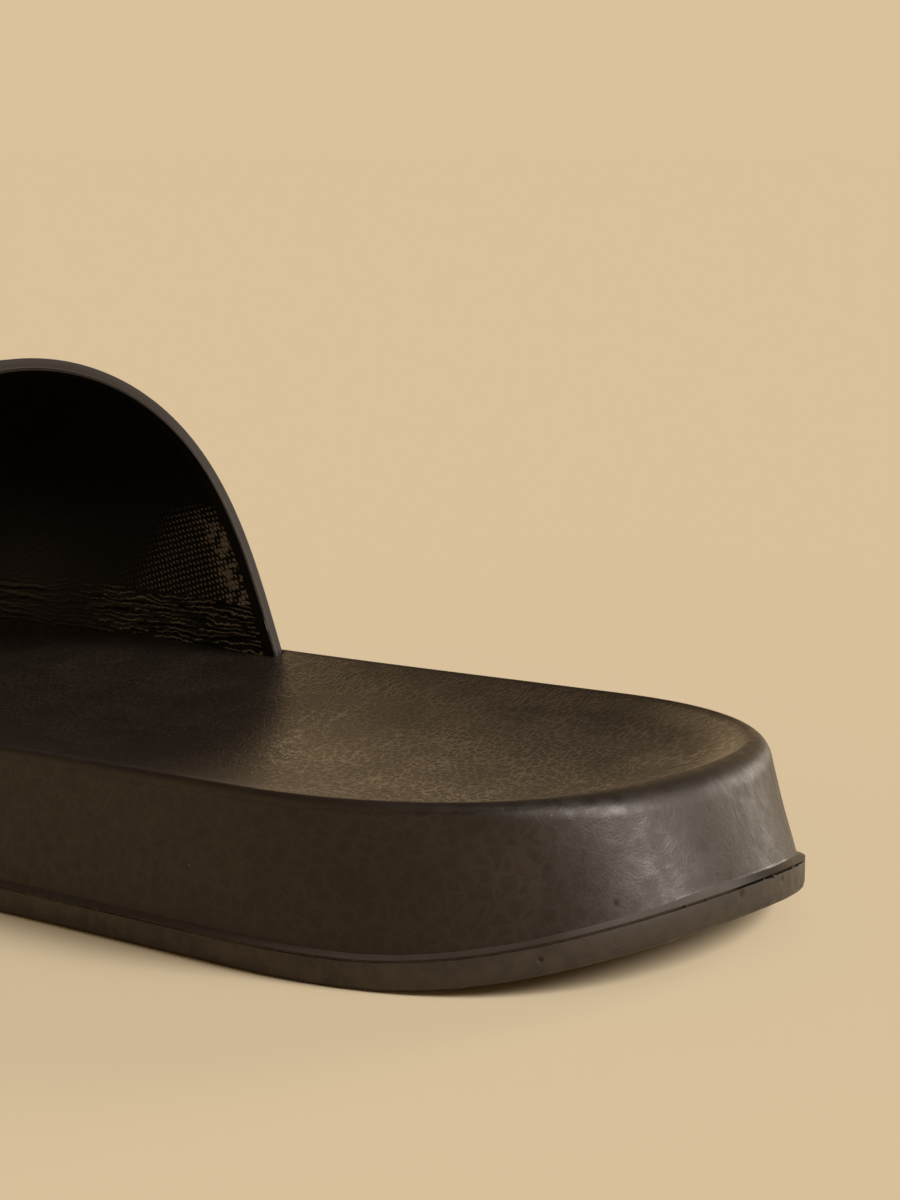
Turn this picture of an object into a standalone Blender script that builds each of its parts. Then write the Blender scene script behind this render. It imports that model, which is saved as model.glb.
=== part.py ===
"""Slide sandal for the left foot: a rubber outsole, a moulded midsole with its footbed, one strap.

Lengths are in metres. While a piece is shaped, x runs from the back of the heel to the toe,
y to the wearer's left (the outer side of a left foot) and z up from the ground.
"""

from math import cos, exp, pi, sin

import bmesh
import bpy
from mathutils import Vector

MM = 0.001

# Sole seen from above
LENGTH = 278 * MM
HEEL_WIDTH = 86.4 * MM
BALL_WIDTH = 103 * MM
HEEL_CAP = 51 * MM             # length of the rounded back end
TOE_CAP = 78 * MM              # length of the rounded front end
HEEL_SQUARENESS = 2.15         # 2 is an ellipse, more is squarer
TOE_SQUARENESS = 2.3

# Ground line
HEEL_SPRING = 6.6 * MM         # lift of the back edge
HEEL_ROLL = 35 * MM            # how far forward that lift fades out
TOE_SPRING = 8 * MM
TOE_ROLL = 66 * MM
ARCH_LIFT = 2.4 * MM           # hollow of the inner side under the foot's arch
ARCH_START = 100 * MM
ARCH_END = 167 * MM

# Outsole
OUTSOLE_SIDE = 3.5 * MM
OUTSOLE_HEEL_EXTRA = 0.3 * MM  # more rubber at the very back
OUTSOLE_EDGE_RADIUS = 0.7 * MM
GROOVE_WIDTH = 2.4 * MM
GROOVE_DEPTH = 1.4 * MM
GROOVE_PITCH = 9.0 * MM
GROOVE_BOW = 4.0 * MM          # how far a groove bends back at its ends
CHANNEL_DEPTH = 1.1 * MM       # lengthwise channels, which part the bars into lugs
CHANNEL_OFFSET = 13.5 * MM     # of a channel from the middle line
TREAD_MARGIN = 9.0 * MM        # plain band round the tread
HEEL_TREAD_START = 27 * MM
HEEL_GROOVE_COUNT = 8
BALL_TREAD_START = 158 * MM
BALL_GROOVE_COUNT = 10

# Midsole with its footbed
PIECE_GAP = 0.3 * MM           # between pieces that touch
SIDE_HEIGHT = 20.2 * MM        # of the midsole at the heel, above the outsole
DISH_DEPTH = 6.6 * MM          # from the rim down to the heel seat
DISH_POWER = 2.2
FORM_RELIEF = 2.0 * MM         # height of the footbed's fullest form
FLANGE_LIP = 0.4 * MM
FLANGE_OUT = 1.7 * MM
FLANGE_RISE = 1.3 * MM
BACK_INSET = 10.4 * MM         # rim's crest, in from the edge of the sole
SIDE_INSET = 3.4 * MM
TOE_INSET = 6.0 * MM
BACK_CREST = 5.2 * MM          # height of the rounding under the crest
SIDE_CREST = 2.2 * MM
TOE_CREST = 3.6 * MM
WALL_LEAN = 0.5                # share of the inset that the side takes up below the rounding

# Strap
STRAP_WALL = 2.0 * MM
STRAP_INSET = 4.3 * MM         # its outer face, in from the edge of the sole
STRAP_TUCK = 8.0 * MM          # depth of its feet below the rim
REAR_FOOT = 115 * MM           # back edge where it leaves the rim
REAR_TOP = 133.5 * MM          # back edge at the crown
FRONT_FOOT = 214 * MM
FRONT_TOP = 205 * MM
REAR_HEIGHT = 48.7 * MM        # crown above the rim
FRONT_HEIGHT = 34.5 * MM
STRAP_SWELL = 1.6 * MM         # fullness between the two edges
ARCH_SIDE_POWER = 2.03         # 2 and 2 are an ellipse, more is squarer
REAR_CROWN_POWER = 3.3
FRONT_CROWN_POWER = 2.8

# Steps of the curves
HEEL_STEPS = 15
SIDE_STEPS = 17
TOE_STEPS = 15
ARCH_STEPS = 30
STRAP_STEPS = 8
FOOT_CROWDING = 0.8            # 0 spaces the arch's points evenly in angle
POLE_REACH = 0.8               # share of a rounded end between the sole's end and its pole
LEVEL_RINGS = (1, 0.8, 0.55, 0.3, 0.1)
BED_RINGS = (0.05, 0.12, 0.21, 0.32, 0.45, 0.6, 0.78, 1)
BOW_STEPS = (-1, -0.6, -0.2, 0.2, 0.6, 1)

# Width and middle line of the sole. Spread runs from the heel's width, 0, to the ball's, 1.
# Sway is a share of the ball's width, towards the outer side.
PLAN = (
    # along, spread, sway
    (0.00, 0.00, 0.000),
    (0.20, 0.00, 0.000),
    (0.36, -0.01, 0.003),
    (0.48, 0.06, 0.006),
    (0.58, 0.34, 0.010),
    (0.67, 0.80, 0.010),
    (0.74, 1.00, 0.003),
    (0.82, 0.96, -0.012),
    (0.91, 0.85, -0.028),
    (1.00, 0.70, -0.040),
)

# Height of the rim as a share of SIDE_HEIGHT, and depth of the bed as a share of DISH_DEPTH.
PROFILE = (
    # along, rim, dish
    (0.00, 1.00, 0.90),
    (0.10, 0.985, 1.00),
    (0.22, 0.960, 1.00),
    (0.40, 0.930, 0.80),
    (0.52, 0.930, 0.66),
    (0.65, 0.850, 0.62),
    (0.76, 0.780, 0.60),
    (0.88, 0.730, 0.58),
    (1.00, 0.700, 0.50),
)

# Soft forms on the bed. Across is a share of the half width, plus towards the outer side.
BED_FORMS = (
    # along, across, reach along, reach across, height
    (0.49, -0.66, 0.100, 0.42, 1.00),
    (0.525, -0.05, 0.032, 0.55, 0.55),
    (0.80, -0.05, 0.028, 0.62, 0.55),
)

BLACK_RUBBER = (0.020, 0.018, 0.017)
BLACK_FOAM = (0.030, 0.026, 0.023)
BLACK_STRAP = (0.026, 0.024, 0.022)


def clear_scene():
    """Remove the objects that a new file starts with."""
    for item in list(bpy.data.objects):
        bpy.data.objects.remove(item)


def blend(start, end, share):
    """Straight blend of two numbers or two vectors."""
    return start + (end - start) * share


def read_table(table, column, along):
    """One column at a share of the length, on a smooth curve through the rows."""
    row = 0
    while row < len(table) - 2 and along > table[row + 1][0]:
        row += 1
    before = table[max(row - 1, 0)]
    start = table[row]
    end = table[row + 1]
    after = table[min(row + 2, len(table) - 1)]
    span = end[0] - start[0]
    share = (along - start[0]) / span
    slope_in = (end[column] - before[column]) / (end[0] - before[0]) * span
    slope_out = (after[column] - start[column]) / (after[0] - start[0]) * span
    square = share * share
    cube = square * share
    return (
        (2 * cube - 3 * square + 1) * start[column]
        + (cube - 2 * square + share) * slope_in
        + (3 * square - 2 * cube) * end[column]
        + (cube - square) * slope_out
    )


def cap_share(x):
    """Share of the half width that the rounded ends leave at x."""
    if x < HEEL_CAP:
        return (1 - (1 - x / HEEL_CAP) ** HEEL_SQUARENESS) ** (1 / HEEL_SQUARENESS)
    reach = (x - (LENGTH - TOE_CAP)) / TOE_CAP
    if reach > 0:
        return max(1 - reach ** TOE_SQUARENESS, 0) ** (1 / TOE_SQUARENESS)
    return 1


def middle(x):
    """y of the sole's middle line."""
    return read_table(PLAN, 2, x / LENGTH) * BALL_WIDTH


def half_width(x):
    """Half of the sole's width, before its ends are rounded."""
    return blend(HEEL_WIDTH, BALL_WIDTH, read_table(PLAN, 1, x / LENGTH)) / 2


def edge_y(x, side):
    """y of the sole's edge, side +1 for the outer edge and -1 for the inner one."""
    return middle(x) + side * half_width(x) * cap_share(x)


def along_steps():
    """x of every station, close together where the ends turn."""
    rows = []
    for step in range(HEEL_STEPS):
        turn = pi / 2 * step / HEEL_STEPS
        rows.append(HEEL_CAP * (1 - cos(turn) ** (2 / HEEL_SQUARENESS)))
    for step in range(SIDE_STEPS):
        rows.append(blend(HEEL_CAP, LENGTH - TOE_CAP, step / SIDE_STEPS))
    for step in range(TOE_STEPS):
        turn = pi / 2 * step / TOE_STEPS
        rows.append(LENGTH - TOE_CAP + TOE_CAP * sin(turn) ** (2 / TOE_SQUARENESS))
    rows.append(LENGTH)
    return rows


def plan_loop():
    """The sole's edge as a closed loop: heel, outer side, toe, inner side."""
    rows = along_steps()
    outer = [Vector((x, edge_y(x, 1), 0)) for x in rows]
    inner = [Vector((x, edge_y(x, -1), 0)) for x in rows[1:-1]]
    return outer + inner[::-1]


def loop_normals(loop):
    """Level outward direction at each point of the loop."""
    normals = []
    for index, _ in enumerate(loop):
        run = loop[(index + 1) % len(loop)] - loop[index - 1]
        normals.append(Vector((-run.y, run.x, 0)).normalized())
    return normals


EDGE = plan_loop()
OUTWARD = loop_normals(EDGE)


def spine_loop(loop):
    """Where each station of the loop meets the middle line, short of both rounded ends."""
    heel_pole = HEEL_CAP * POLE_REACH
    toe_pole = LENGTH - TOE_CAP * POLE_REACH
    rows = [min(max(point.x, heel_pole), toe_pole) for point in loop]
    return [Vector((x, middle(x), 0)) for x in rows]


SPINE = spine_loop(EDGE)


def ground(x, y):
    """Height of the outsole's tread face."""
    heel = max(1 - x / HEEL_ROLL, 0)
    toe = max(1 - (LENGTH - x) / TOE_ROLL, 0)
    arch_share = (x - ARCH_START) / (ARCH_END - ARCH_START)
    lift = HEEL_SPRING * heel ** 2 + TOE_SPRING * toe ** 2
    if 0 < arch_share < 1:
        inner_share = min(max(0.5 - (y - middle(x)) / HEEL_WIDTH, 0), 1)
        lift += ARCH_LIFT * sin(pi * arch_share) ** 2 * inner_share ** 2
    return lift


def parting(x, y):
    """Height of the joint between outsole and midsole."""
    heel = max(1 - x / HEEL_CAP, 0)
    return ground(x, y) + OUTSOLE_SIDE + OUTSOLE_HEEL_EXTRA * heel


def rim(x):
    """Height of the crest round the footbed."""
    toe = max(1 - (LENGTH - x) / TOE_ROLL, 0)
    return OUTSOLE_SIDE + SIDE_HEIGHT * read_table(PROFILE, 1, x / LENGTH) + TOE_SPRING * toe ** 2


def bed_forms(x, y):
    """Extra height of the footbed's soft forms."""
    lift = 0
    for along, across, reach_along, reach_across, height in BED_FORMS:
        run = (x / LENGTH - along) / reach_along
        side = ((y - middle(x)) / half_width(x) - across) / reach_across
        lift += FORM_RELIEF * height * exp(-run * run - side * side)
    return lift


def bed(x, y, inward):
    """Height of the footbed, with inward 0 at the crest and 1 on the middle line."""
    depth = DISH_DEPTH * read_table(PROFILE, 2, x / LENGTH)
    fade = 1 - (1 - inward) ** DISH_POWER
    return rim(x) - depth * fade + bed_forms(x, y) * fade


def by_direction(normal, side, back, toe):
    """A size that changes round the sole, from its values at the sides and both ends."""
    backward = max(-normal.x, 0) ** 2
    forward = max(normal.x, 0) ** 2
    return side + (back - side) * backward + (toe - side) * forward


def inner_ring(start, inward, height):
    """A ring of the level surface inside the loop start, inward 0 to 1."""
    ring = []
    for point, end in zip(start, SPINE):
        spot = blend(point, end, inward)
        ring.append(Vector((spot.x, spot.y, height(spot.x, spot.y))))
    return ring


def level_copy(ring):
    """The same ring with its heights taken off."""
    return [Vector((point.x, point.y, 0)) for point in ring]


def new_object(name, mesh_data, colour, roughness):
    """Link an object with its own material under the sandal's empty."""
    item = bpy.data.objects.new(name, mesh_data)
    bpy.context.scene.collection.objects.link(item)
    material = bpy.data.materials.new(name)
    material.use_nodes = True
    shader = material.node_tree.nodes["Principled BSDF"]
    shader.inputs["Base Color"].default_value = (*colour, 1)
    shader.inputs["Roughness"].default_value = roughness
    shader.inputs["Metallic"].default_value = 0
    mesh_data.materials.append(material)
    return item


def finish_mesh(name, work):
    """Weld a bmesh's poles, point its faces outwards and hand it over as mesh data."""
    bmesh.ops.remove_doubles(work, verts=work.verts, dist=0.00001)
    bmesh.ops.recalc_face_normals(work, faces=work.faces)
    mesh_data = bpy.data.meshes.new(name)
    work.to_mesh(mesh_data)
    work.free()
    mesh_data.shade_smooth()
    mesh_data.set_sharp_from_angle(angle=0.7)
    return mesh_data


def bridge_rings(work, rings):
    """Join closed rings of equal count with faces, one after the other."""
    loops = [[work.verts.new(point) for point in ring] for ring in rings]
    for lower, upper in zip(loops, loops[1:]):
        for index, _ in enumerate(lower):
            after = (index + 1) % len(lower)
            work.faces.new((lower[index], lower[after], upper[after], upper[index]))


def spine_closed(name, rings):
    """A solid whose first and last ring lie on the middle line and close there."""
    work = bmesh.new()
    bridge_rings(work, rings)
    return finish_mesh(name, work)


def bars(name, runs):
    """One closed bar for each run of four-cornered sections."""
    work = bmesh.new()
    for sections in runs:
        loops = [[work.verts.new(point) for point in section] for section in sections]
        for lower, upper in zip(loops, loops[1:]):
            for index in range(4):
                after = (index + 1) % 4
                work.faces.new((lower[index], lower[after], upper[after], upper[index]))
        work.faces.new(loops[0])
        work.faces.new(loops[-1])
    return finish_mesh(name, work)


def cutter(name, mesh_data):
    """An object that only cuts others."""
    item = bpy.data.objects.new(name, mesh_data)
    bpy.context.scene.collection.objects.link(item)
    item.hide_render = True
    item.display_type = "WIRE"
    return item


def cut(target, tool):
    """Take the tool's shape out of the target."""
    modifier = target.modifiers.new("cut", "BOOLEAN")
    modifier.operation = "DIFFERENCE"
    modifier.solver = "EXACT"
    modifier.object = tool


def outsole_rings():
    """Rings from the middle of the tread face, round the edge, to the middle of the top."""
    tread_edge = []
    for point, normal in zip(EDGE, OUTWARD):
        tread_edge.append(point - normal * OUTSOLE_EDGE_RADIUS)
    rings = []
    for inward in LEVEL_RINGS + (0,):
        rings.append(inner_ring(tread_edge, inward, ground))
    for turn in (pi / 6, pi / 3, pi / 2):
        ring = []
        for point, normal in zip(EDGE, OUTWARD):
            spot = point - normal * OUTSOLE_EDGE_RADIUS * (1 - sin(turn))
            height = ground(spot.x, spot.y) + OUTSOLE_EDGE_RADIUS * (1 - cos(turn))
            ring.append(Vector((spot.x, spot.y, height)))
        rings.append(ring)
    for inward in (0,) + LEVEL_RINGS[::-1]:
        rings.append(inner_ring(EDGE, inward, parting))
    return rings


def groove_section(x, y, bow_share):
    """Four corners of a groove's section, upright and in line with the sole."""
    x -= GROOVE_BOW * bow_share ** 2
    low = ground(x, y) - GROOVE_DEPTH
    high = ground(x, y) + GROOVE_DEPTH
    back = x - GROOVE_WIDTH / 2
    front = x + GROOVE_WIDTH / 2
    corners = ((back, low), (front, low), (front, high), (back, high))
    return [Vector((corner_x, y, corner_z)) for corner_x, corner_z in corners]


def groove_places(start, count):
    """x of each groove of one field."""
    return [start + GROOVE_PITCH * index for index in range(count)]


def tread_grooves():
    """Bowed grooves across the heel and the ball."""
    runs = []
    places = groove_places(HEEL_TREAD_START, HEEL_GROOVE_COUNT)
    places += groove_places(BALL_TREAD_START, BALL_GROOVE_COUNT)
    for x in places:
        reach = half_width(x) * cap_share(x) - TREAD_MARGIN
        sections = []
        for bow_share in BOW_STEPS:
            sections.append(groove_section(x, middle(x) + reach * bow_share, bow_share))
        runs.append(sections)
    return bars("tread_grooves", runs)


def tread_channels():
    """Two lengthwise channels in each field of grooves."""
    runs = []
    for start, count in ((HEEL_TREAD_START, HEEL_GROOVE_COUNT), (BALL_TREAD_START, BALL_GROOVE_COUNT)):
        for side in (1, -1):
            sections = []
            for x in groove_places(start, count):
                y = middle(x) + side * CHANNEL_OFFSET
                low = ground(x, y) - CHANNEL_DEPTH
                high = ground(x, y) + CHANNEL_DEPTH
                left = y + GROOVE_WIDTH / 2
                right = y - GROOVE_WIDTH / 2
                corners = ((right, low), (left, low), (left, high), (right, high))
                sections.append([Vector((x, corner_y, corner_z)) for corner_y, corner_z in corners])
            runs.append(sections)
    return bars("tread_channels", runs)


def make_outsole():
    """Rubber outsole with its rounded edge and its tread of lugs."""
    mesh_data = spine_closed("outsole", outsole_rings())
    outsole = new_object("outsole", mesh_data, BLACK_RUBBER, 0.55)
    cut(outsole, cutter("tread_grooves", tread_grooves()))
    cut(outsole, cutter("tread_channels", tread_channels()))


def side_section(point, normal):
    """(inset, height) pairs up the midsole's side, from the flange to the crest."""
    foot = parting(point.x, point.y) + PIECE_GAP
    crest = rim(point.x)
    inset = by_direction(normal, SIDE_INSET, BACK_INSET, TOE_INSET)
    rounding = by_direction(normal, SIDE_CREST, BACK_CREST, TOE_CREST)
    rows = [(0, foot), (0, foot + FLANGE_LIP)]
    for turn in (pi / 8, pi / 4, 3 * pi / 8, pi / 2):
        rows.append((FLANGE_OUT * sin(turn), foot + FLANGE_LIP + FLANGE_RISE * (1 - cos(turn))))
    wall_foot = rows[-1]
    wall_top = (blend(FLANGE_OUT, inset, WALL_LEAN), crest - rounding)
    for share in (0.35, 0.7, 1):
        rows.append((blend(wall_foot[0], wall_top[0], share), blend(wall_foot[1], wall_top[1], share)))
    for turn in (pi / 8, pi / 4, 3 * pi / 8, pi / 2):
        rows.append((blend(wall_top[0], inset, 1 - cos(turn)), wall_top[1] + rounding * sin(turn)))
    return rows


def midsole_rings():
    """Rings from the middle of the underside, up the side, to the middle of the footbed."""
    rings = []
    for inward in LEVEL_RINGS:
        rings.append(inner_ring(EDGE, inward, lambda x, y: parting(x, y) + PIECE_GAP))
    sections = [side_section(point, normal) for point, normal in zip(EDGE, OUTWARD)]
    for level, _ in enumerate(sections[0]):
        ring = []
        for point, normal, section in zip(EDGE, OUTWARD, sections):
            inset, height = section[level]
            spot = point - normal * inset
            ring.append(Vector((spot.x, spot.y, height)))
        rings.append(ring)
    crest = level_copy(rings[-1])
    for inward in BED_RINGS:
        rings.append(inner_ring(crest, inward, lambda x, y, share=inward: bed(x, y, share)))
    return rings


def strap_foot_x(share):
    """x of a strap foot, share 0 at the back edge and 1 at the front edge."""
    return blend(REAR_FOOT, FRONT_FOOT, share)


def strap_foot_y(x, side):
    """y of the strap's outer face at its foot."""
    return edge_y(x, side) - side * STRAP_INSET


def slot_runs():
    """The two slots for the strap's feet, each the foot's form with a gap all round."""
    runs = []
    for side in (1, -1):
        sections = []
        for step in range(STRAP_STEPS + 1):
            share = step / STRAP_STEPS
            x = blend(REAR_FOOT - PIECE_GAP, FRONT_FOOT + PIECE_GAP, share)
            outer = strap_foot_y(x, side) + side * PIECE_GAP
            inner = strap_foot_y(x, side) - side * (STRAP_WALL + PIECE_GAP)
            low = rim(x) - STRAP_TUCK - PIECE_GAP
            high = rim(x) + STRAP_TUCK
            sections.append([
                Vector((x, outer, low)),
                Vector((x, inner, low)),
                Vector((x, inner, high)),
                Vector((x, outer, high)),
            ])
        runs.append(sections)
    return runs


def make_midsole():
    """Moulded midsole: flange, leaning side, rounded rim, dished footbed and strap slots."""
    mesh_data = spine_closed("midsole", midsole_rings())
    midsole = new_object("midsole", mesh_data, BLACK_FOAM, 0.5)
    cut(midsole, cutter("strap_slots", bars("strap_slots", slot_runs())))


def strap_section(share):
    """Points of the strap's outer face, from the outer foot over the crown to the inner foot."""
    foot_x = strap_foot_x(share)
    foot_z = rim(foot_x)
    left = strap_foot_y(foot_x, 1)
    right = strap_foot_y(foot_x, -1)
    swell = STRAP_SWELL * 4 * share * (1 - share)
    height = blend(REAR_HEIGHT, FRONT_HEIGHT, share) + swell
    centre = (left + right) / 2
    half = (left - right) / 2
    crown_power = blend(REAR_CROWN_POWER, FRONT_CROWN_POWER, share)
    points = [Vector((foot_x, left, foot_z - STRAP_TUCK))]
    points.append(Vector((foot_x, left, foot_z - STRAP_TUCK / 2)))
    for step in range(ARCH_STEPS + 1):
        round_share = step / ARCH_STEPS
        turn = pi * (round_share - FOOT_CROWDING * sin(2 * pi * round_share) / (2 * pi))
        sideways = abs(cos(turn)) ** (2 / ARCH_SIDE_POWER)
        if round_share > 0.5:
            sideways = -sideways
        rise = max(sin(turn), 0) ** (2 / crown_power)
        rear_x = blend(REAR_FOOT, REAR_TOP, rise)
        front_x = blend(FRONT_FOOT, FRONT_TOP, rise)
        x = blend(rear_x, front_x, share)
        points.append(Vector((x, centre + half * sideways, foot_z + height * rise)))
    points.append(Vector((foot_x, right, foot_z - STRAP_TUCK / 2)))
    points.append(Vector((foot_x, right, foot_z - STRAP_TUCK)))
    return points


def make_strap():
    """One band over the foot, an even wall inside its outer face, with both feet in slots."""
    work = bmesh.new()
    columns = []
    for step in range(STRAP_STEPS + 1):
        columns.append([work.verts.new(point) for point in strap_section(step / STRAP_STEPS)])
    for back, front in zip(columns, columns[1:]):
        for index in range(len(back) - 1):
            work.faces.new((back[index], back[index + 1], front[index + 1], front[index]))
    mesh_data = bpy.data.meshes.new("strap")
    work.to_mesh(mesh_data)
    work.free()
    mesh_data.shade_smooth()
    strap = new_object("strap", mesh_data, BLACK_STRAP, 0.45)
    wall = strap.modifiers.new("wall", "SOLIDIFY")
    wall.thickness = STRAP_WALL
    wall.offset = -1
    wall.use_even_offset = True
    wall.use_rim = True


def main():
    """Build the sandal with its origin under the middle of its box, on the ground."""
    clear_scene()
    sandal = bpy.data.objects.new("slide_sandal", None)
    bpy.context.scene.collection.objects.link(sandal)
    outer_reach = max(point.y for point in EDGE)
    inner_reach = min(point.y for point in EDGE)
    sandal.location = (-LENGTH / 2, -(outer_reach + inner_reach) / 2, 0)
    make_outsole()
    make_midsole()
    make_strap()
    for item in bpy.data.objects:
        if item != sandal:
            item.parent = sandal


main()
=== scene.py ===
"""Looks of the slide sandal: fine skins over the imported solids, their finishes, the light and the camera.

Lengths are in metres. The sole's forms are worked out with x from the back of the heel to the toe
and y to the wearer's left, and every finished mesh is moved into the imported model's own frame.
"""

from math import cos, exp, hypot, pi, radians, sin

import bmesh
import bpy
from bpy.props import FloatProperty, FloatVectorProperty, PointerProperty
from mathutils import Matrix, Vector, noise


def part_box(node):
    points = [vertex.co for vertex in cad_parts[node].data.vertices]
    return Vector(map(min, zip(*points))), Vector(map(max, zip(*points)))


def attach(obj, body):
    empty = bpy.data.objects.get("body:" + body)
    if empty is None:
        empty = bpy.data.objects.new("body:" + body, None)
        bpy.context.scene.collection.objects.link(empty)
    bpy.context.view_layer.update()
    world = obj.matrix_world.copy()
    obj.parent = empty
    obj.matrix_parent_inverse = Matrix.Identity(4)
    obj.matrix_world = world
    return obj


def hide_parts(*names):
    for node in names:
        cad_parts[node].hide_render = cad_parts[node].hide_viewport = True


bl_info = {
    "name": "Slide Sandal Looks",
    "version": (1, 0, 0),
    "blender": (4, 5, 0),
    "location": "3D View > Sidebar > Sandal",
    "description": "Grained midsole, rubber outsole and lined strap over the packed solids",
    "category": "Object",
}

MM = 0.001

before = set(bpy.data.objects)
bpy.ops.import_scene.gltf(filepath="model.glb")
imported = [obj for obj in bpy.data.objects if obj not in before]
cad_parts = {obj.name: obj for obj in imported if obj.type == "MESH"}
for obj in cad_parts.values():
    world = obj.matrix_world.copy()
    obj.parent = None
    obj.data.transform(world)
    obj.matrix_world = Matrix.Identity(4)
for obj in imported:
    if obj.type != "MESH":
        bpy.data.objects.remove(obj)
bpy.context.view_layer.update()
OUTSOLE_LOW, OUTSOLE_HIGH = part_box("outsole")
LENGTH = OUTSOLE_HIGH.x - OUTSOLE_LOW.x

# Rounded ends of the sole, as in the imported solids
HEEL_CAP = 51 * MM
TOE_CAP = 78 * MM
HEEL_SQUARENESS = 2.15
TOE_SQUARENESS = 2.3
POLE_REACH = 0.8

# Ground line
HEEL_SPRING = 6.6 * MM
HEEL_ROLL = 35 * MM
TOE_SPRING = 8 * MM
TOE_ROLL = 66 * MM
ARCH_LIFT = 2.4 * MM
ARCH_START = 100 * MM
ARCH_END = 167 * MM
OUTSOLE_SIDE = 3.5 * MM
OUTSOLE_HEEL_EXTRA = 0.3 * MM
PIECE_GAP = 0.3 * MM

# Midsole
FORM_RELIEF = 2.0 * MM
DISH_POWER = 2.2
FLANGE_LIP = 0.10 * MM
FLANGE_OUT = 1.15 * MM
FLANGE_RISE = 0.42 * MM
BACK_INSET = 10.4 * MM
SIDE_INSET = 3.4 * MM
TOE_INSET = 6.0 * MM
BACK_CREST = 2.9 * MM
SIDE_CREST = 1.7 * MM
TOE_CREST = 3.6 * MM
WALL_LEAN = 0.5

# Strap
STRAP_INSET = 4.3 * MM
STRAP_TUCK = 8.0 * MM
REAR_FOOT = 115 * MM
REAR_TOP = 133.5 * MM
FRONT_FOOT = 214 * MM
FRONT_TOP = 205 * MM
STRAP_SWELL = 1.6 * MM
ARCH_SIDE_POWER = 2.03
REAR_CROWN_POWER = 3.3
FRONT_CROWN_POWER = 2.8

# Fineness of the skins
WELD_REACH = 2e-6
THIN_EDGE = 1e-6
SHARP_SHADING = radians(38)
HEEL_STEPS = 120
SIDE_STEPS = 104
TOE_STEPS = 72

PLAN = (
    # along, spread from heel width to ball width, sway as a share of the ball width
    (0.00, 0.00, 0.000),
    (0.20, 0.00, 0.000),
    (0.36, -0.01, 0.003),
    (0.48, 0.06, 0.006),
    (0.58, 0.34, 0.010),
    (0.67, 0.80, 0.010),
    (0.74, 1.00, 0.003),
    (0.82, 0.96, -0.012),
    (0.91, 0.85, -0.028),
    (1.00, 0.70, -0.040),
)

PROFILE = (
    # along, rim as a share of the side's height, dish as a share of its depth
    (0.00, 1.00, 0.90),
    (0.10, 0.985, 1.00),
    (0.22, 0.960, 1.00),
    (0.40, 0.930, 0.80),
    (0.52, 0.930, 0.66),
    (0.65, 0.850, 0.62),
    (0.76, 0.780, 0.60),
    (0.88, 0.730, 0.58),
    (1.00, 0.700, 0.50),
)

BED_FORMS = (
    # along, across as a share of the half width, reach along, reach across, height
    (0.49, -0.66, 0.100, 0.42, 1.00),
    (0.525, -0.05, 0.032, 0.55, 0.55),
    (0.80, -0.05, 0.028, 0.62, 0.55),
)

HEEL_CREASES = (
    # place and drop of the start, place and drop of the end, bow, height, all in millimetres;
    # the place runs round the edge from the heel's back, the drop down from the crest
    (26.5, 1.9, 24.3, 4.5, 0.0, 0.12),
    (25.7, 1.9, 23.3, 4.4, 0.0, -0.14),
    (24.4, 2.4, 20.9, 2.9, 0.6, -0.17),
    (18.8, 3.0, 15.3, 3.4, 0.6, -0.17),
    (22.3, 5.0, 16.2, 6.1, 0.5, 0.14),
    (21.2, 4.6, 16.3, 5.1, 0.4, -0.10),
    (15.6, 5.0, 14.1, 5.8, 0.0, 0.11),
    (14.5, 4.6, 10.8, 6.3, 0.3, -0.13),
    (7.3, 6.3, 13.3, 8.3, -0.3, 0.10),
    (8.4, 7.3, 13.3, 8.9, 0.2, -0.09),
    (17.8, 7.9, 15.2, 9.8, -0.2, 0.13),
    (21.2, 9.0, 17.4, 9.5, 0.5, 0.10),
    (21.2, 9.9, 18.5, 10.2, 0.3, -0.10),
    (22.3, 9.8, 18.5, 10.9, 0.4, 0.09),
    (10.7, 10.1, 12.3, 11.3, 0.0, 0.06),
    (7.3, 2.2, 11.0, 4.1, 0.5, -0.14),
    (7.1, 3.2, 9.0, 4.4, 0.2, 0.08),
    (3.6, 3.4, 6.5, 4.8, 0.3, -0.12),
    (2.5, 2.7, 7.7, 6.0, 0.6, 0.11),
)
CREASE_WIDTH = 0.42
CREASE_DEPTH = 0.07

LINING_CREASES = (
    # distance from the strap's edge and height over the foot at the start and the end, bow, height,
    # all in millimetres
    (41.0, 5.9, 17.0, 5.9, -0.5, 0.26),
    (17.5, 5.9, 3.0, 7.5, 0.4, 0.24),
    (42.0, 3.4, 29.0, 3.6, 0.6, 0.24),
    (30.0, 4.3, 2.8, 5.1, 0.3, 0.26),
    (29.0, 3.3, 10.0, 3.9, 0.2, 0.18),
    (33.0, 1.8, 14.0, 2.8, 0.0, 0.22),
    (16.0, 2.7, 2.8, 3.5, 0.2, 0.20),
    (36.0, 0.7, 14.0, 1.2, 0.2, 0.18),
    (15.5, 1.8, 5.0, 2.0, -0.2, 0.26),
    (5.3, 2.3, 1.2, 0.4, 0.1, 0.22),
)
LINING_CREASE_WIDTH = 0.26
LINING_CREASE_ZONE = (-1, 10)
CURL_START = (9.0, 2.6)
CURL_END = (2.2, 0.6)
CURL_TOP = (34, 24)

# Waves of the wall's skin, all over and on the heel's corners: height, stretch round the edge and
# down the wall, seed, in millimetres
WALL_WAVES = ((0.08, 12, 9, 3.7), (0.035, 4.8, 3.4, 8.1))
CORNER_REACH = (38, 24)
CORNER_MIDDLE = 2
CORNER_GAP = (1, 8)
CORNER_WAVES = ((0.009, 2.6, 1.8, 1.3), (0.005, 1.3, 1.0, 6.3))
LINING_WAVES = ((0.35, 3.0, 2.0, 4.4), (0.12, 0.9, 0.8, 9.4))

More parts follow.
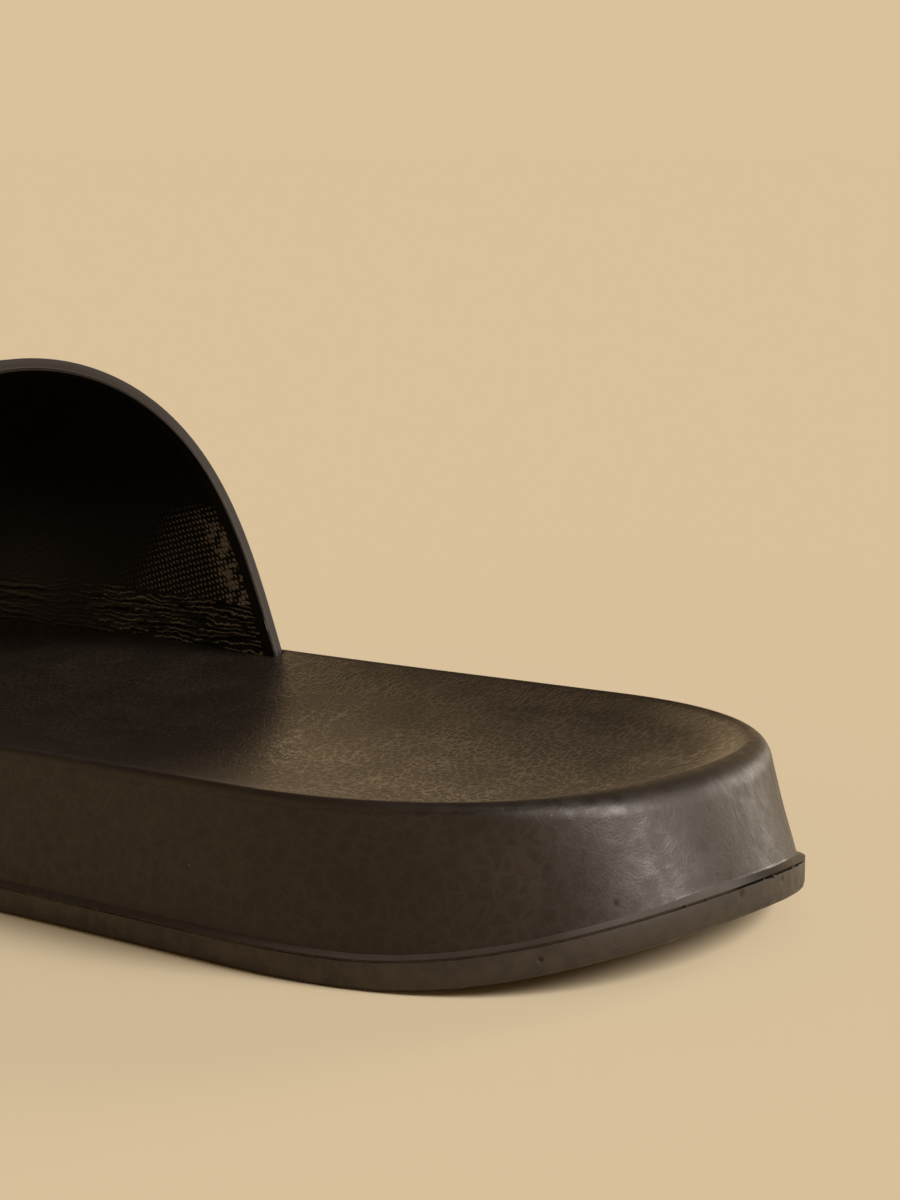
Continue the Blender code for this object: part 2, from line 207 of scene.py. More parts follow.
# Rows up the wall and over the footbed
SLOT_ENDS = (REAR_FOOT - PIECE_GAP, FRONT_FOOT + PIECE_GAP)
SLOT_END_RISE = 0.1 * MM
UNDERSIDE_SHARES = (1, 0.7, 0.4, 0.15)
FLANGE_ROW = 11
LEDGE_ROW = 9
FLANGE_TURNS = 8
WALL_ROWS = 30
CREST_TURNS = 12
FLANGE_SQUARENESS = 1.8
FLANGE_WAVE = 0.07 * MM
CREST_FULLNESS = 0.66
SLOT_OUTER = STRAP_INSET - PIECE_GAP - SIDE_INSET
SLOT_INNER = SLOT_OUTER + 2.0 * MM + 2 * PIECE_GAP
SLOT_LIPS = (0.2 * MM, 0.42 * MM)
BED_ROWS = 46
BED_CROWDING = 1.25

# Outsole and glue
FLAT_LUG = radians(6)
SQUARE_LUG = radians(60)
SHARP_LUG = radians(50)
LUG_ROUNDING = 0.25 * MM
GLUE_CLEAR = 0.01 * MM
GLUE_INSET = 0.10 * MM
GLUE_WAVE = 0.07 * MM
GLUE_BACK = 2.2 * MM
GLUE_CRACK = (-18 * MM, 1 * MM)
GLUE_CRACK_DEPTH = 0.35 * MM
GLUE_CRACK_FADE = 3 * MM
GLUE_BEAD_TURN = 900
GLUE_BEADS = (
    # place round the edge, rise over the joint, size, all in millimetres
    (11.5, 0.25, 0.30),
    (8.2, 0.05, 0.22),
    (-3.5, 0.20, 0.30),
    (-6.4, 0.12, 0.42),
    (-12.6, 0.18, 0.34),
    (-15.8, 0.10, 0.26),
    (96.0, 0.12, 0.24),
    (171.0, 0.15, 0.28),
    (-88.0, 0.12, 0.30),
    (-214.0, 0.15, 0.26),
)

# Rows and layers of the strap
STRAP_COLUMNS = 96
ARCH_SAMPLES = 700
ARCH_CROWDING = 0.97
FOOT_ZONE = 15 * MM
FOOT_ROWS = 72
CROWN_ROWS = 96
TUCK_ROWS = 3
EDGE_ROUNDING = 0.28 * MM
EDGE_TURNS = 4
LINING_THICKNESS = 0.35 * MM
LINING_ROUNDING = 0.12 * MM
LINING_OVERHANG = 0.05 * MM
LINING_CURL = 0.30 * MM
LAYER_GAP = 0.02 * MM
COVER, EDGE = 0, 1

# Dents: place round the edge, inset, rise over the joint, size
SIDE_DENTS = ((20.5 * MM, 1.9 * MM, 2.6 * MM, 0.75 * MM),)
OUTSOLE_DENTS = (
    (1.5 * MM, 0.0, -0.75 * MM, 1.1 * MM),
    (-9.0 * MM, 0.0, -0.9 * MM, 0.7 * MM),
    (31.0 * MM, 0.0, -1.6 * MM, 0.6 * MM),
)

# Heights of the fine relief
FINE_RELIEF = 0.025 * MM
NET_RELIEF = 0.06 * MM
BAND_RELIEF = 0.02 * MM
PIT_RELIEF = 0.15 * MM
PIMPLE_RELIEF = 0.20 * MM

# Gloss and wear of all skins
WARM_SHINE = (1.0, 0.90, 0.82, 1.0)
SPECK_COLOUR = (0.16, 0.14, 0.11)
PATCHES = (0.3, 0.7)
STREAK_STRETCH = (0.5, 0.5, 2.6)

# Leather nets: cells per millimetre each way, line width, warp
BED_NET = ((1.00, 0.62, 0.3), 0.15, 0.2)
RIM_NET = ((1.05, 0.42, 0), 0.16, 0.25)
BACK_NET = ((0.75, 0.20, 0), 0.14, 0.6)
SIDE_NET = ((0.42, 0.46, 0), 0.22, 0.9)
COVER_NET = ((0.85, 0.85, 0.85), 0.16, 0.6)
NET_LEVELS = ((1.0, 1.0), (2.3, 0.45))

# Foam. The pairs say where a finish starts and where it is full: rises run up the wall to 0 at the
# crest and on over the footbed, and places run round the edge from the heel's back.
FOAM_SHINE = 0.36
BED_START = (-0.5 * MM, 1.5 * MM)
INNER_BED = (9 * MM, 19 * MM)
BACK_NET_MIDDLE = -21 * MM
BACK_NET_FADE = (23 * MM, 15 * MM)
BAND_LOW = -1.9 * MM
BAND_SIDES = (26 * MM, 46 * MM)
# Painted light: a pale tan band on the footbed's slope just inside the rim round the heel
LIT_RIM_START = (0.6 * MM, 1.8 * MM)
LIT_RIM_END = (7 * MM, 3 * MM)
LIT_RIM_ROUND = (80 * MM, 45 * MM)
# Painted highlight on the flange's ledge: where it fades in up the flange and where it lies round the edge
LEDGE_FADE = (0.55, 0.95)
LEDGE_SIDE = (2 * MM, 30 * MM)
LEDGE_LIT_MIDDLE = 12 * MM
LEDGE_LIT_FADE = (19 * MM, 8 * MM)
SEAT = (-45 * MM, -105 * MM)
SEAT_RISE = (2.5 * MM, 9 * MM)
# Colour of the painted light inside the heel's rim
LIT_RIM_COLOUR = (0.060, 0.045, 0.032)
# Colours of the painted highlight on the flange's ledge
LEDGE_HIGHLIGHT_COLOUR = (0.044, 0.035, 0.027)
LEDGE_BACK_COLOUR = (0.010, 0.008, 0.0065)
LEDGE_HEEL_HIGHLIGHT_COLOUR = (0.085, 0.075, 0.064)
# How strongly the grain's net lines are painted paler, a painted highlight on their raised tops
SIDE_LINE_HIGHLIGHT = 0.8
BED_LINE_HIGHLIGHT = 0.5
SIDE_NET_SHARE = 0.35
BACK_NET_SHARE = 0.5
SIDE_NET_RELIEF_SHARE = 0.35
BED_NET_SHARE = 0.6
BED_GRAIN_SHARE = 2.2
SIDE_ROUGHNESS = (0.42, 0.48)
SIDE_MOTTLE = 0.05
BED_CELL_ROUGHNESS = 0.34
BED_LINE_ROUGHNESS = 0.23
SEAT_ROUGHNESS = 0.20
BED_COAT = 0.02
BED_LINE_COAT = 0.60
COAT_ROUGHNESS = 0.30

# Rubber
RUBBER_SHINE = 0.37
RUBBER_ROUGHNESS = (0.56, 0.44)
PIT_SHARE = 0.2

# Strap, with distances from its edge and heights over its foot
COVER_ROUGHNESS = (0.40, 0.50)
EDGE_SHINE = 0.25
EDGE_ROUGHNESS = (0.56, 0.66)
EDGE_WAVE = 0.12 * MM
OUTER_BORDER = (0.40 * MM, 0.30 * MM)
INNER_BORDER = (1.40 * MM, 1.46 * MM)
LINING_SHINE = 0.16
# Painted glints: the pale colour of the lining's pimple and ridge tops
LINING_GLINT_COLOUR = (0.225, 0.190, 0.148)
LINING_GLOSS = 0.20
LINING_PLAIN = 0.50
MARGIN = (2.4 * MM, 2.9 * MM)
MARGIN_WAVE = 1.4 * MM
PIMPLE_PITCH = 1.08 * MM
PIMPLE_ROW = 0.866
PIMPLE_SLANT = 0.30
PIMPLE_SHIFT = 0.16
PIMPLE_REACH = 0.31
# Blots of wider pimples and a zone of full pimples near the strap's edge: they spread the painted glints
# there and fade them further in
PIMPLE_BLOT_REACH = 0.80
PIMPLE_DIM_SHARE = 0.10
BLOT_FADE = (9.5 * MM, 4.5 * MM)
BLOT_TOP = (26 * MM, 17 * MM)
GLINT_ZONE_SLANT = 1.1
GLINT_ZONE_FADE = (49 * MM, 25 * MM)
GLINT_ZONE_TOP = (30 * MM, 21 * MM)
RIDGE_PITCH = 0.88 * MM
RIDGE_TOP = (8.0 * MM, 7.2 * MM)
RIDGE_FADE = (60 * MM, 18 * MM)
# Bends, jags and gaps of the ridges: how often a millimetre along and up
RIDGE_STRETCHES = ((0.10, 0.22), (0.9, 0.6), (0.16, 0.9))

# Room and camera
FLOOR_REACH = 40
PHOTO_HEIGHT = 1200
FOCAL_PIXELS = 2833
SENSOR = 36.0
CAMERA_PLACE = Vector((-0.32742, 0.29600, 0.10298))
CAMERA_HEADING = radians(-51.245)
CAMERA_DIP = radians(9.1235)
CAMERA_ROLL = radians(-0.09)
# Shares of the backdrop's colour, and the sines of elevation between which they come in
ROOM_WARMTH = (1.02, 0.92, 0.80)
ROOM_WARM_RISE = (0.06, 0.14)
ROOM_CEILING = (0.07, 0.06, 0.045)
ROOM_CEILING_RISE = (0.30, 0.56)
SUNS = (
    # setting and name, direction it shines from, spread in degrees, colour
    ("overhead", (-0.45, 0.10, 0.88), 60, (1.0, 0.97, 0.92)),
    ("key", (-0.798, -0.184, 0.574), 26, (1.0, 0.99, 0.97)),
    ("heel", (-0.733, -0.342, 0.588), 24, (1.0, 0.98, 0.94)),
    ("side", (-0.17, -0.94, 0.28), 20, (1.0, 0.93, 0.84)),
)


class SandalSizes(bpy.types.PropertyGroup):
    """Main sizes of the skins"""

    heel_width: FloatProperty(
        name="Heel width", description="Width of the sole at the heel",
        default=0.0864, min=0.05, unit="LENGTH",
    )
    ball_width: FloatProperty(
        name="Ball width", description="Width of the sole at the ball of the foot",
        default=0.103, min=0.06, unit="LENGTH",
    )
    side_height: FloatProperty(
        name="Side height", description="Height of the midsole at the heel, above the outsole",
        default=0.0202, min=0.01, unit="LENGTH",
    )
    dish_depth: FloatProperty(
        name="Dish depth", description="From the rim down to the heel seat",
        default=0.0066, min=0.0, unit="LENGTH",
    )
    rear_height: FloatProperty(
        name="Strap height, back", description="Crown of the strap's back edge above the rim",
        default=0.0487, min=0.02, unit="LENGTH",
    )
    front_height: FloatProperty(
        name="Strap height, front", description="Crown of the strap's front edge above the rim",
        default=0.0345, min=0.02, unit="LENGTH",
    )
    strap_wall: FloatProperty(
        name="Strap wall", description="Thickness of cover, core and lining together",
        default=0.002, min=0.001, unit="LENGTH",
    )


class SandalColours(bpy.types.PropertyGroup):
    """Colours and strengths of the finishes"""

    foam: FloatVectorProperty(
        name="Foam", description="Grained foam of the midsole",
        default=(0.0095, 0.0065, 0.0049), subtype="COLOR", min=0, max=1,
    )
    rubber: FloatVectorProperty(
        name="Rubber", description="Rubber of the outsole",
        default=(0.0230, 0.0175, 0.0135), subtype="COLOR", min=0, max=1,
    )
    cover: FloatVectorProperty(
        name="Strap cover", description="Outer face of the strap",
        default=(0.0140, 0.0105, 0.0080), subtype="COLOR", min=0, max=1,
    )
    cut_edge: FloatVectorProperty(
        name="Cut edge", description="Dyed cut edge of the strap",
        default=(0.0128, 0.0096, 0.0074), subtype="COLOR", min=0, max=1,
    )
    lining: FloatVectorProperty(
        name="Lining", description="Pimpled lining of the strap",
        default=(0.0018, 0.0013, 0.0009), subtype="COLOR", min=0, max=1,
    )
    glue: FloatVectorProperty(
        name="Glue", description="Line of glue between midsole and outsole",
        default=(0.0110, 0.0075, 0.0055), subtype="COLOR", min=0, max=1,
    )
    floor: FloatVectorProperty(
        name="Floor", description="Floor under the sandal",
        default=(0.620, 0.505, 0.343), subtype="COLOR", min=0, max=1,
    )
    backdrop: FloatVectorProperty(
        name="Backdrop", description="Plain room round the sandal",
        default=(0.701, 0.539, 0.332), subtype="COLOR", min=0, max=1,
    )


class SandalLight(bpy.types.PropertyGroup):
    """Strengths of the studio light"""

    overhead: FloatProperty(
        name="Overhead", description="Large soft light from above", default=0.25, min=0.0,
    )
    key: FloatProperty(
        name="Key", description="Main light behind the heel", default=3.75, min=0.0,
    )
    heel: FloatProperty(
        name="Heel", description="Lower, softer light on the heel's inner corner", default=0.6, min=0.0,
    )
    side: FloatProperty(
        name="Side", description="Low soft light beyond the inner side", default=0.95, min=0.0,
    )
    room: FloatProperty(
        name="Room", description="Brightness of the plain room", default=1.0, min=0.0,
    )


# Forms of the sole


def blend(start, end, share):
    """Straight blend of two numbers or two vectors."""
    return start + (end - start) * share


def smooth_step(low, high, value):
    """0 below low, 1 above high and a soft rise between."""
    share = min(max((value - low) / (high - low), 0), 1)
    return share * share * (3 - 2 * share)


def read_table(table, column, along):
    """One column at a share of the length, on a smooth curve through the rows."""
    row = 0
    while row < len(table) - 2 and along > table[row + 1][0]:
        row += 1
    before = table[max(row - 1, 0)]
    start = table[row]
    end = table[row + 1]
    after = table[min(row + 2, len(table) - 1)]
    span = end[0] - start[0]
    share = (along - start[0]) / span
    slope_in = (end[column] - before[column]) / (end[0] - before[0]) * span
    slope_out = (after[column] - start[column]) / (after[0] - start[0]) * span
    square = share * share
    cube = square * share
    return (
        (2 * cube - 3 * square + 1) * start[column]
        + (cube - 2 * square + share) * slope_in
        + (3 * square - 2 * cube) * end[column]
        + (cube - square) * slope_out
    )


def sizes():
    """The panel's sizes."""
    return bpy.context.scene.sandal_sizes


def colours():
    """The panel's colours."""
    return bpy.context.scene.sandal_colours


def cap_share(x):
    """Share of the half width that the rounded ends leave at x."""
    if x < HEEL_CAP:
        return max(1 - (1 - x / HEEL_CAP) ** HEEL_SQUARENESS, 0) ** (1 / HEEL_SQUARENESS)
    reach = (x - (LENGTH - TOE_CAP)) / TOE_CAP
    if reach > 0:
        return max(1 - reach ** TOE_SQUARENESS, 0) ** (1 / TOE_SQUARENESS)
    return 1


def middle(x):
    """y of the sole's middle line."""
    return read_table(PLAN, 2, x / LENGTH) * sizes().ball_width


def half_width(x):
    """Half of the sole's width, before its ends are rounded."""
    return blend(sizes().heel_width, sizes().ball_width, read_table(PLAN, 1, x / LENGTH)) / 2


def edge_y(x, side):
    """y of the sole's edge, side +1 for the outer edge and -1 for the inner one."""
    return middle(x) + side * half_width(x) * cap_share(x)


def ground(x, y):
    """Height of the tread face."""
    heel = max(1 - x / HEEL_ROLL, 0)
    toe = max(1 - (LENGTH - x) / TOE_ROLL, 0)
    arch_share = (x - ARCH_START) / (ARCH_END - ARCH_START)
    lift = HEEL_SPRING * heel ** 2 + TOE_SPRING * toe ** 2
    if 0 < arch_share < 1:
        inner_share = min(max(0.5 - (y - middle(x)) / sizes().heel_width, 0), 1)
        lift += ARCH_LIFT * sin(pi * arch_share) ** 2 * inner_share ** 2
    return lift


def parting(x, y):
    """Height of the joint between outsole and midsole."""
    heel = max(1 - x / HEEL_CAP, 0)
    return ground(x, y) + OUTSOLE_SIDE + OUTSOLE_HEEL_EXTRA * heel


def rim(x):
    """Height of the crest round the footbed."""
    toe = max(1 - (LENGTH - x) / TOE_ROLL, 0)
    height = sizes().side_height * read_table(PROFILE, 1, x / LENGTH)
    return OUTSOLE_SIDE + height + TOE_SPRING * toe ** 2


def bed(x, y, inward):
    """Height of the footbed, with inward 0 at the crest and 1 on the middle line."""
    lift = 0
    for along, across, reach_along, reach_across, height in BED_FORMS:
        run = (x / LENGTH - along) / reach_along
        side = ((y - middle(x)) / half_width(x) - across) / reach_across
        lift += FORM_RELIEF * height * exp(-run * run - side * side)
    depth = sizes().dish_depth * read_table(PROFILE, 2, x / LENGTH)
    fade = 1 - (1 - inward) ** DISH_POWER
    return rim(x) + (lift - depth) * fade


def by_direction(normal, side, back, toe):
    """A size that changes round the sole, from its values at the sides and both ends."""
    backward = max(-normal.x, 0) ** 2
    forward = max(normal.x, 0) ** 2
    return side + (back - side) * backward + (toe - side) * forward


def along_steps():
    """x of every station, close together where the ends turn, with the slots' ends among them."""
    heel_turns = [pi / 2 * step / HEEL_STEPS for step in range(HEEL_STEPS)]
    toe_turns = [pi / 2 * step / TOE_STEPS for step in range(TOE_STEPS)]
    rows = [HEEL_CAP * (1 - cos(turn) ** (2 / HEEL_SQUARENESS)) for turn in heel_turns]
    rows += [blend(HEEL_CAP, LENGTH - TOE_CAP, step / SIDE_STEPS) for step in range(SIDE_STEPS)]
    rows += [LENGTH - TOE_CAP + TOE_CAP * sin(turn) ** (2 / TOE_SQUARENESS) for turn in toe_turns]
    rows.append(LENGTH)
    rows += [SLOT_ENDS[0] - SLOT_END_RISE, SLOT_ENDS[0], SLOT_ENDS[1], SLOT_ENDS[1] + SLOT_END_RISE]
    return sorted(rows)


def plan_loop():
    """The sole's edge as a closed loop: toe, inner side, heel, outer side, with outward directions."""
    rows = along_steps()
    loop = [Vector((x, edge_y(x, -1), 0)) for x in reversed(rows)]
    loop += [Vector((x, edge_y(x, 1), 0)) for x in rows[1:-1]]
    outward = []
    for index, _ in enumerate(loop):
        run = loop[(index + 1) % len(loop)] - loop[index - 1]
        outward.append(Vector((-run.y, run.x, 0)).normalized())
    return loop, outward


def edge_spot(place):
    """The point of the sole's edge at a place round it, and its outward direction."""
    loop, outward = plan_loop()
    distances = arc_lengths(loop + loop[:1])
    index = min(range(len(loop)), key=lambda step: abs(distances[step] - distances[-1] / 2 - place))
    return loop[index], outward[index]


def crease_height(rows, place, drop, width):
    """Height, in millimetres, that the listed soft ridges and troughs give at a place."""
    height = 0
    for start_place, start_drop, end_place, end_drop, bow, peak in rows:
        run_place = end_place - start_place
        run_drop = end_drop - start_drop
        length = hypot(run_place, run_drop)
        away_place = place - start_place
        away_drop = drop - start_drop
        share = (away_place * run_place + away_drop * run_drop) / length ** 2
        if not -0.25 < share < 1.25:
            continue
        across = (abs(run_place) * away_drop - run_drop * away_place * (1 if run_place > 0 else -1)) / length
        across -= bow * 4 * share * (1 - share)
        fade = smooth_step(-0.25, 0.2, share) * (1 - smooth_step(0.8, 1.25, share))
        height += peak * exp(-(across / width) ** 2) * fade
    return height


def waver(place, drop, stretch_place, stretch_drop, seed):
    """A smooth, irregular value between -1 and 1."""
    return noise.noise(Vector((place / stretch_place, drop / stretch_drop, seed)))


def waves(rows, place, drop):
    """Sum of smooth, irregular waves from rows of height, two stretches and seed."""
    return sum(height * waver(place, drop, *stretches) for height, *stretches in rows)


def wall_relief(place, drop, edge_length):
    """Metres that the skin of the midsole's side stands out, from broad waves and the corners' creases."""
    place /= MM
    drop /= MM
    at_corner = smooth_step(*CORNER_REACH, abs(place)) * smooth_step(*CORNER_GAP, abs(place - CORNER_MIDDLE))
    relief = waves(WALL_WAVES, place, drop) + at_corner * waves(CORNER_WAVES, place, drop)
    from_toe = edge_length / MM / 2 - abs(place)
    # The same creases at the heel's outer and inner corners and at both sides of the toe
    corners = (
        (place, drop, 1.0),
        (2.5 - 1.06 * place, 0.4 + 0.94 * drop, 0.9),
        (0.72 * from_toe - 8.0, drop + 0.6, 0.7 if place > 0 else 0.5),
    )
    for corner_place, corner_drop, share in corners:
        if 0 < corner_place < 30:
            creases = crease_height(HEEL_CREASES, corner_place, corner_drop, CREASE_WIDTH)
            relief += CREASE_DEPTH * share * creases
    return relief * MM


def frame_shift():
    """From the heel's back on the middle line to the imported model's origin."""
    reach = [edge_y(x, 1) for x in along_steps()]
    return Vector((OUTSOLE_LOW.x, OUTSOLE_HIGH.y - max(reach), 0))


# Meshes


def finish_object(name, work, node, materials):
    """Turn a bmesh into a finished piece that rides on the sandal and stands for a node, if one is given."""
    mesh = bpy.data.meshes.new(name)
    work.to_mesh(mesh)
    work.free()
    for material in materials:
        mesh.materials.append(material)
    mesh.shade_smooth()
    mesh.set_sharp_from_angle(angle=SHARP_SHADING)
    piece = bpy.data.objects.new(name, mesh)
    bpy.context.scene.collection.objects.link(piece)
    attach(piece, "root")
    if node:
        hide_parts(node)
    return piece


def place_grid(columns, rows, points, lay, kinds=None, marks=None):
    """A bmesh grid put on a surface.

    points[column][row] are its places and lay[column][row] its surface map; kinds gives each column's
    material and marks holds, by name, more numbers for each place, as values[column][row].
    """
    work = bmesh.new()
    uv = work.loops.layers.uv.new("surface")
    bmesh.ops.create_grid(work, x_segments=columns, y_segments=rows, size=0.5, calc_uvs=True)
    for vert in work.verts:
        column = round((vert.co.x + 0.5) * columns)
        row = round((vert.co.y + 0.5) * rows)
        vert.co = points[column][row]
        vert.index = column * (rows + 1) + row
    for face in work.faces:
        first = columns
        for corner in face.loops:
            column = round(corner[uv].uv.x * columns)
            row = round(corner[uv].uv.y * rows)
            corner[uv].uv = lay[column][row]
            first = min(first, column)
        if kinds:
            face.material_index = kinds[first]
    for name, values in (marks or {}).items():
        layer = work.verts.layers.float.new(name)
        for vert in work.verts:
            column, row = divmod(vert.index, rows + 1)
            vert[layer] = values[column][row]
    return work


def close_grid(work):
    """Weld what meets and turn every face outwards."""
    bmesh.ops.remove_doubles(work, verts=work.verts, dist=WELD_REACH)
    bmesh.ops.dissolve_degenerate(work, edges=work.edges, dist=THIN_EDGE)
    bmesh.ops.recalc_face_normals(work, faces=work.faces)
    open_edges = sum(1 for edge in work.edges if len(edge.link_faces) != 2)
    if open_edges:
        raise RuntimeError(f"{open_edges} edges are open")


def arc_lengths(points):
    """Distance along a line of points at each of them."""
    total = [0.0]
    for start, end in zip(points, points[1:]):
        total.append(total[-1] + (end - start).length)
    return total


def curve_point(start, corner, end, share):
    """A place on a curve that leaves start towards corner and reaches end from corner."""
    first = blend(start, corner, CREST_FULLNESS)
    second = blend(end, corner, CREST_FULLNESS)
    rest = 1 - share
    near_start = start * rest ** 3 + first * (3 * rest ** 2 * share)
    return near_start + second * (3 * rest * share ** 2) + end * share ** 3


def wall_rows(point, normal):
    """(inset, height) pairs up the midsole's side, from the flange to the crest."""
    foot = parting(point.x, point.y) + PIECE_GAP
    crest = rim(point.x)
    inset = by_direction(normal, SIDE_INSET, BACK_INSET, TOE_INSET)
    rounding = by_direction(normal, SIDE_CREST, BACK_CREST, TOE_CREST)
    rows = [(0.1 * MM, foot), (0, foot + 0.1 * MM), (0, foot + FLANGE_LIP)]
    for step in range(1, FLANGE_TURNS + 1):
        turn = pi / 2 * step / FLANGE_TURNS
        inward = sin(turn) ** FLANGE_SQUARENESS
        upward = 1 - cos(turn) ** FLANGE_SQUARENESS
        rows.append((FLANGE_OUT * inward, foot + FLANGE_LIP + FLANGE_RISE * upward))
    low = rows[-1]
    high = (blend(FLANGE_OUT, inset, WALL_LEAN), crest - rounding)
    for step in range(1, WALL_ROWS + 1):
        share = step / WALL_ROWS
        rows.append((blend(low[0], high[0], share), blend(low[1], high[1], share)))
    lean = (high[0] - low[0]) / (high[1] - low[1])
    corner = Vector((high[0] + lean * rounding, crest))
    start = Vector(high)
    end = Vector((inset, crest))
    for step in range(1, CREST_TURNS + 1):
        rows.append(curve_point(start, corner, end, step / CREST_TURNS))
    return rows


def bed_rows(crest, spine):
    """Points from the crest to the middle line, with the slot for the strap's foot on the way."""
    reach = (spine - crest).length
    in_slot = SLOT_ENDS[0] <= crest.x <= SLOT_ENDS[1]

    def on_bed(distance, drop=0):
        share = distance / reach
        spot = blend(crest, spine, share)
        return Vector((spot.x, spot.y, bed(spot.x, spot.y, share) - drop))

    rows = [on_bed(distance) for distance in SLOT_LIPS]
    if in_slot:
        depth = STRAP_TUCK + PIECE_GAP
        rows += [on_bed(SLOT_OUTER), on_bed(SLOT_OUTER, depth), on_bed(SLOT_INNER, depth), on_bed(SLOT_INNER)]
    else:
        rows += [on_bed(blend(SLOT_OUTER, SLOT_INNER, step / 3)) for step in range(4)]
    rows += [on_bed(SLOT_INNER + lip) for lip in SLOT_LIPS]
    start = SLOT_INNER + SLOT_LIPS[-1]
    for step in range(1, BED_ROWS + 1):
        rows.append(on_bed(blend(start, reach, (step / BED_ROWS) ** BED_CROWDING)))
    return rows


class SANDAL_OT_midsole(bpy.types.Operator):
    """Moulded midsole with its flange, grained side and footbed, and the strap's slots"""

    bl_idname = "sandal.midsole"
    bl_label = "Build Midsole"

    def execute(self, context):
        loop, outward = plan_loop()
        shift = frame_shift()
        around = arc_lengths(loop + loop[:1])
        edge_length = around[-1]
        points = []
        lay = []
        for point, normal, distance in zip(loop, outward, around):
            place = distance - edge_length / 2
            x = min(max(point.x, HEEL_CAP * POLE_REACH), LENGTH - TOE_CAP * POLE_REACH)
            spine = Vector((x, middle(x), 0))
            column = []
            for share in UNDERSIDE_SHARES:
                spot = blend(point, spine, share)
                column.append(Vector((spot.x, spot.y, parting(spot.x, spot.y) + PIECE_GAP)))
            rows = wall_rows(point, normal)
            crest_height = rows[-1][1]
            for index, (inset, height) in enumerate(rows):
                drop = crest_height - height
                below_crest = len(rows) - 1 - index
                share = smooth_step(0, 5, index - FLANGE_ROW) * smooth_step(0, 4, below_crest)
                spot = point - normal * (inset - wall_relief(place, drop, edge_length) * share)
                on_lip = smooth_step(2, 4, index) * (1 - share) * smooth_step(0, CREST_TURNS, below_crest)
                lift = FLANGE_WAVE * waver(place, 0, 6 * MM, 1, 5.0) * on_lip
                column.append(Vector((spot.x, spot.y, height + lift)))
            crest = Vector((column[-1].x, column[-1].y, 0))
            column += bed_rows(crest, spine)
            points.append(column)
        wall_start = len(UNDERSIDE_SHARES)
        crest_row = wall_start + len(wall_rows(loop[0], outward[0])) - 1
        for column, distance in zip(points, around):
            heights = arc_lengths(column)
            place = distance - edge_length / 2
            lay.append([Vector((place, height - heights[crest_row])) for height in heights])
        points.append(points[0])
        lay.append([Vector((edge_length / 2, spot.y)) for spot in lay[0]])
        rows = range(len(points[0]))
        ledge = [smooth_step(wall_start + FLANGE_ROW, wall_start + LEDGE_ROW, row) for row in rows]
        work = place_grid(len(loop), len(rows) - 1, points, lay, marks={"ledge": [ledge] * len(points)})
        bmesh.ops.translate(work, verts=work.verts, vec=shift)
        close_grid(work)
        finish_object("moulded_midsole", work, "midsole", [foam_material()])
        return {"FINISHED"}


class SANDAL_OT_outsole(bpy.types.Operator):
    """Rubber outsole with softened lugs and edges"""

    bl_idname = "sandal.outsole"
    bl_label = "Build Outsole"

    def execute(self, context):
        work = bmesh.new()
        work.from_mesh(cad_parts["outsole"].data)
        bmesh.ops.remove_doubles(work, verts=work.verts, dist=THIN_EDGE)
        bmesh.ops.join_triangles(
            work, faces=work.faces, angle_face_threshold=FLAT_LUG, angle_shape_threshold=SQUARE_LUG,
        )
        sharp = [edge for edge in work.edges if edge.calc_face_angle(0) > SHARP_LUG]
        bmesh.ops.bevel(
            work, geom=sharp, offset=LUG_ROUNDING, offset_type="OFFSET", segments=2, profile=0.5,
            affect="EDGES", clamp_overlap=True, material=-1,
        )
        finish_object("rubber_outsole", work, "outsole", [rubber_material()])
        return {"FINISHED"}


class SANDAL_OT_glue_line(bpy.types.Operator):
    """Uneven line of glue in the joint between midsole and outsole, with a few dried beads"""

    bl_idname = "sandal.glue_line"
    bl_label = "Build Glue Line"

    def execute(self, context):
        loop, outward = plan_loop()
        distances = arc_lengths(loop + loop[:1])
        edge_length = distances[-1]
        points = []
        for point, normal, distance in zip(loop, outward, distances):
            place = distance - edge_length / 2
            wave = GLUE_WAVE * (waver(place, 0, 3.5 * MM, 1, 2.2) + waver(place, 0, 14 * MM, 1, 6.2))
            start, end = GLUE_CRACK
            opened = smooth_step(start - GLUE_CRACK_FADE, start, place)
            opened *= 1 - smooth_step(end, end + GLUE_CRACK_FADE, place)
            front = GLUE_INSET + wave + GLUE_CRACK_DEPTH * opened
            low = parting(point.x, point.y) + GLUE_CLEAR
            high = low + PIECE_GAP - 2 * GLUE_CLEAR
            section = ((GLUE_BACK, low), (front + GLUE_CLEAR, low), (front, (low + high) / 2))
            section += ((front + GLUE_CLEAR, high), (GLUE_BACK, high), (GLUE_BACK, low))
            spots = [(point - normal * inset, height) for inset, height in section]
            points.append([Vector((spot.x, spot.y, height)) for spot, height in spots])
        points.append(points[0])
        flat = [[Vector((0, 0))] * len(points[0]) for _ in points]
        work = place_grid(len(loop), len(points[0]) - 1, points, flat)
        close_grid(work)
        for bead in GLUE_BEADS:
            place, rise, size = (measure * MM for measure in bead)
            point, normal = edge_spot(place)
            centre = point - normal * GLUE_CLEAR
            centre.z = parting(point.x, point.y) + rise
            turn = Matrix.Rotation(place * GLUE_BEAD_TURN, 4, "Z")
            matrix = Matrix.Translation(centre) @ turn @ Matrix.Diagonal((size, size * 0.7, size * 0.5, 1))
            bmesh.ops.create_icosphere(work, subdivisions=2, radius=1, matrix=matrix)
        bmesh.ops.translate(work, verts=work.verts, vec=frame_shift())
        finish_object("glue_line", work, None, [glue_material()])
        return {"FINISHED"}


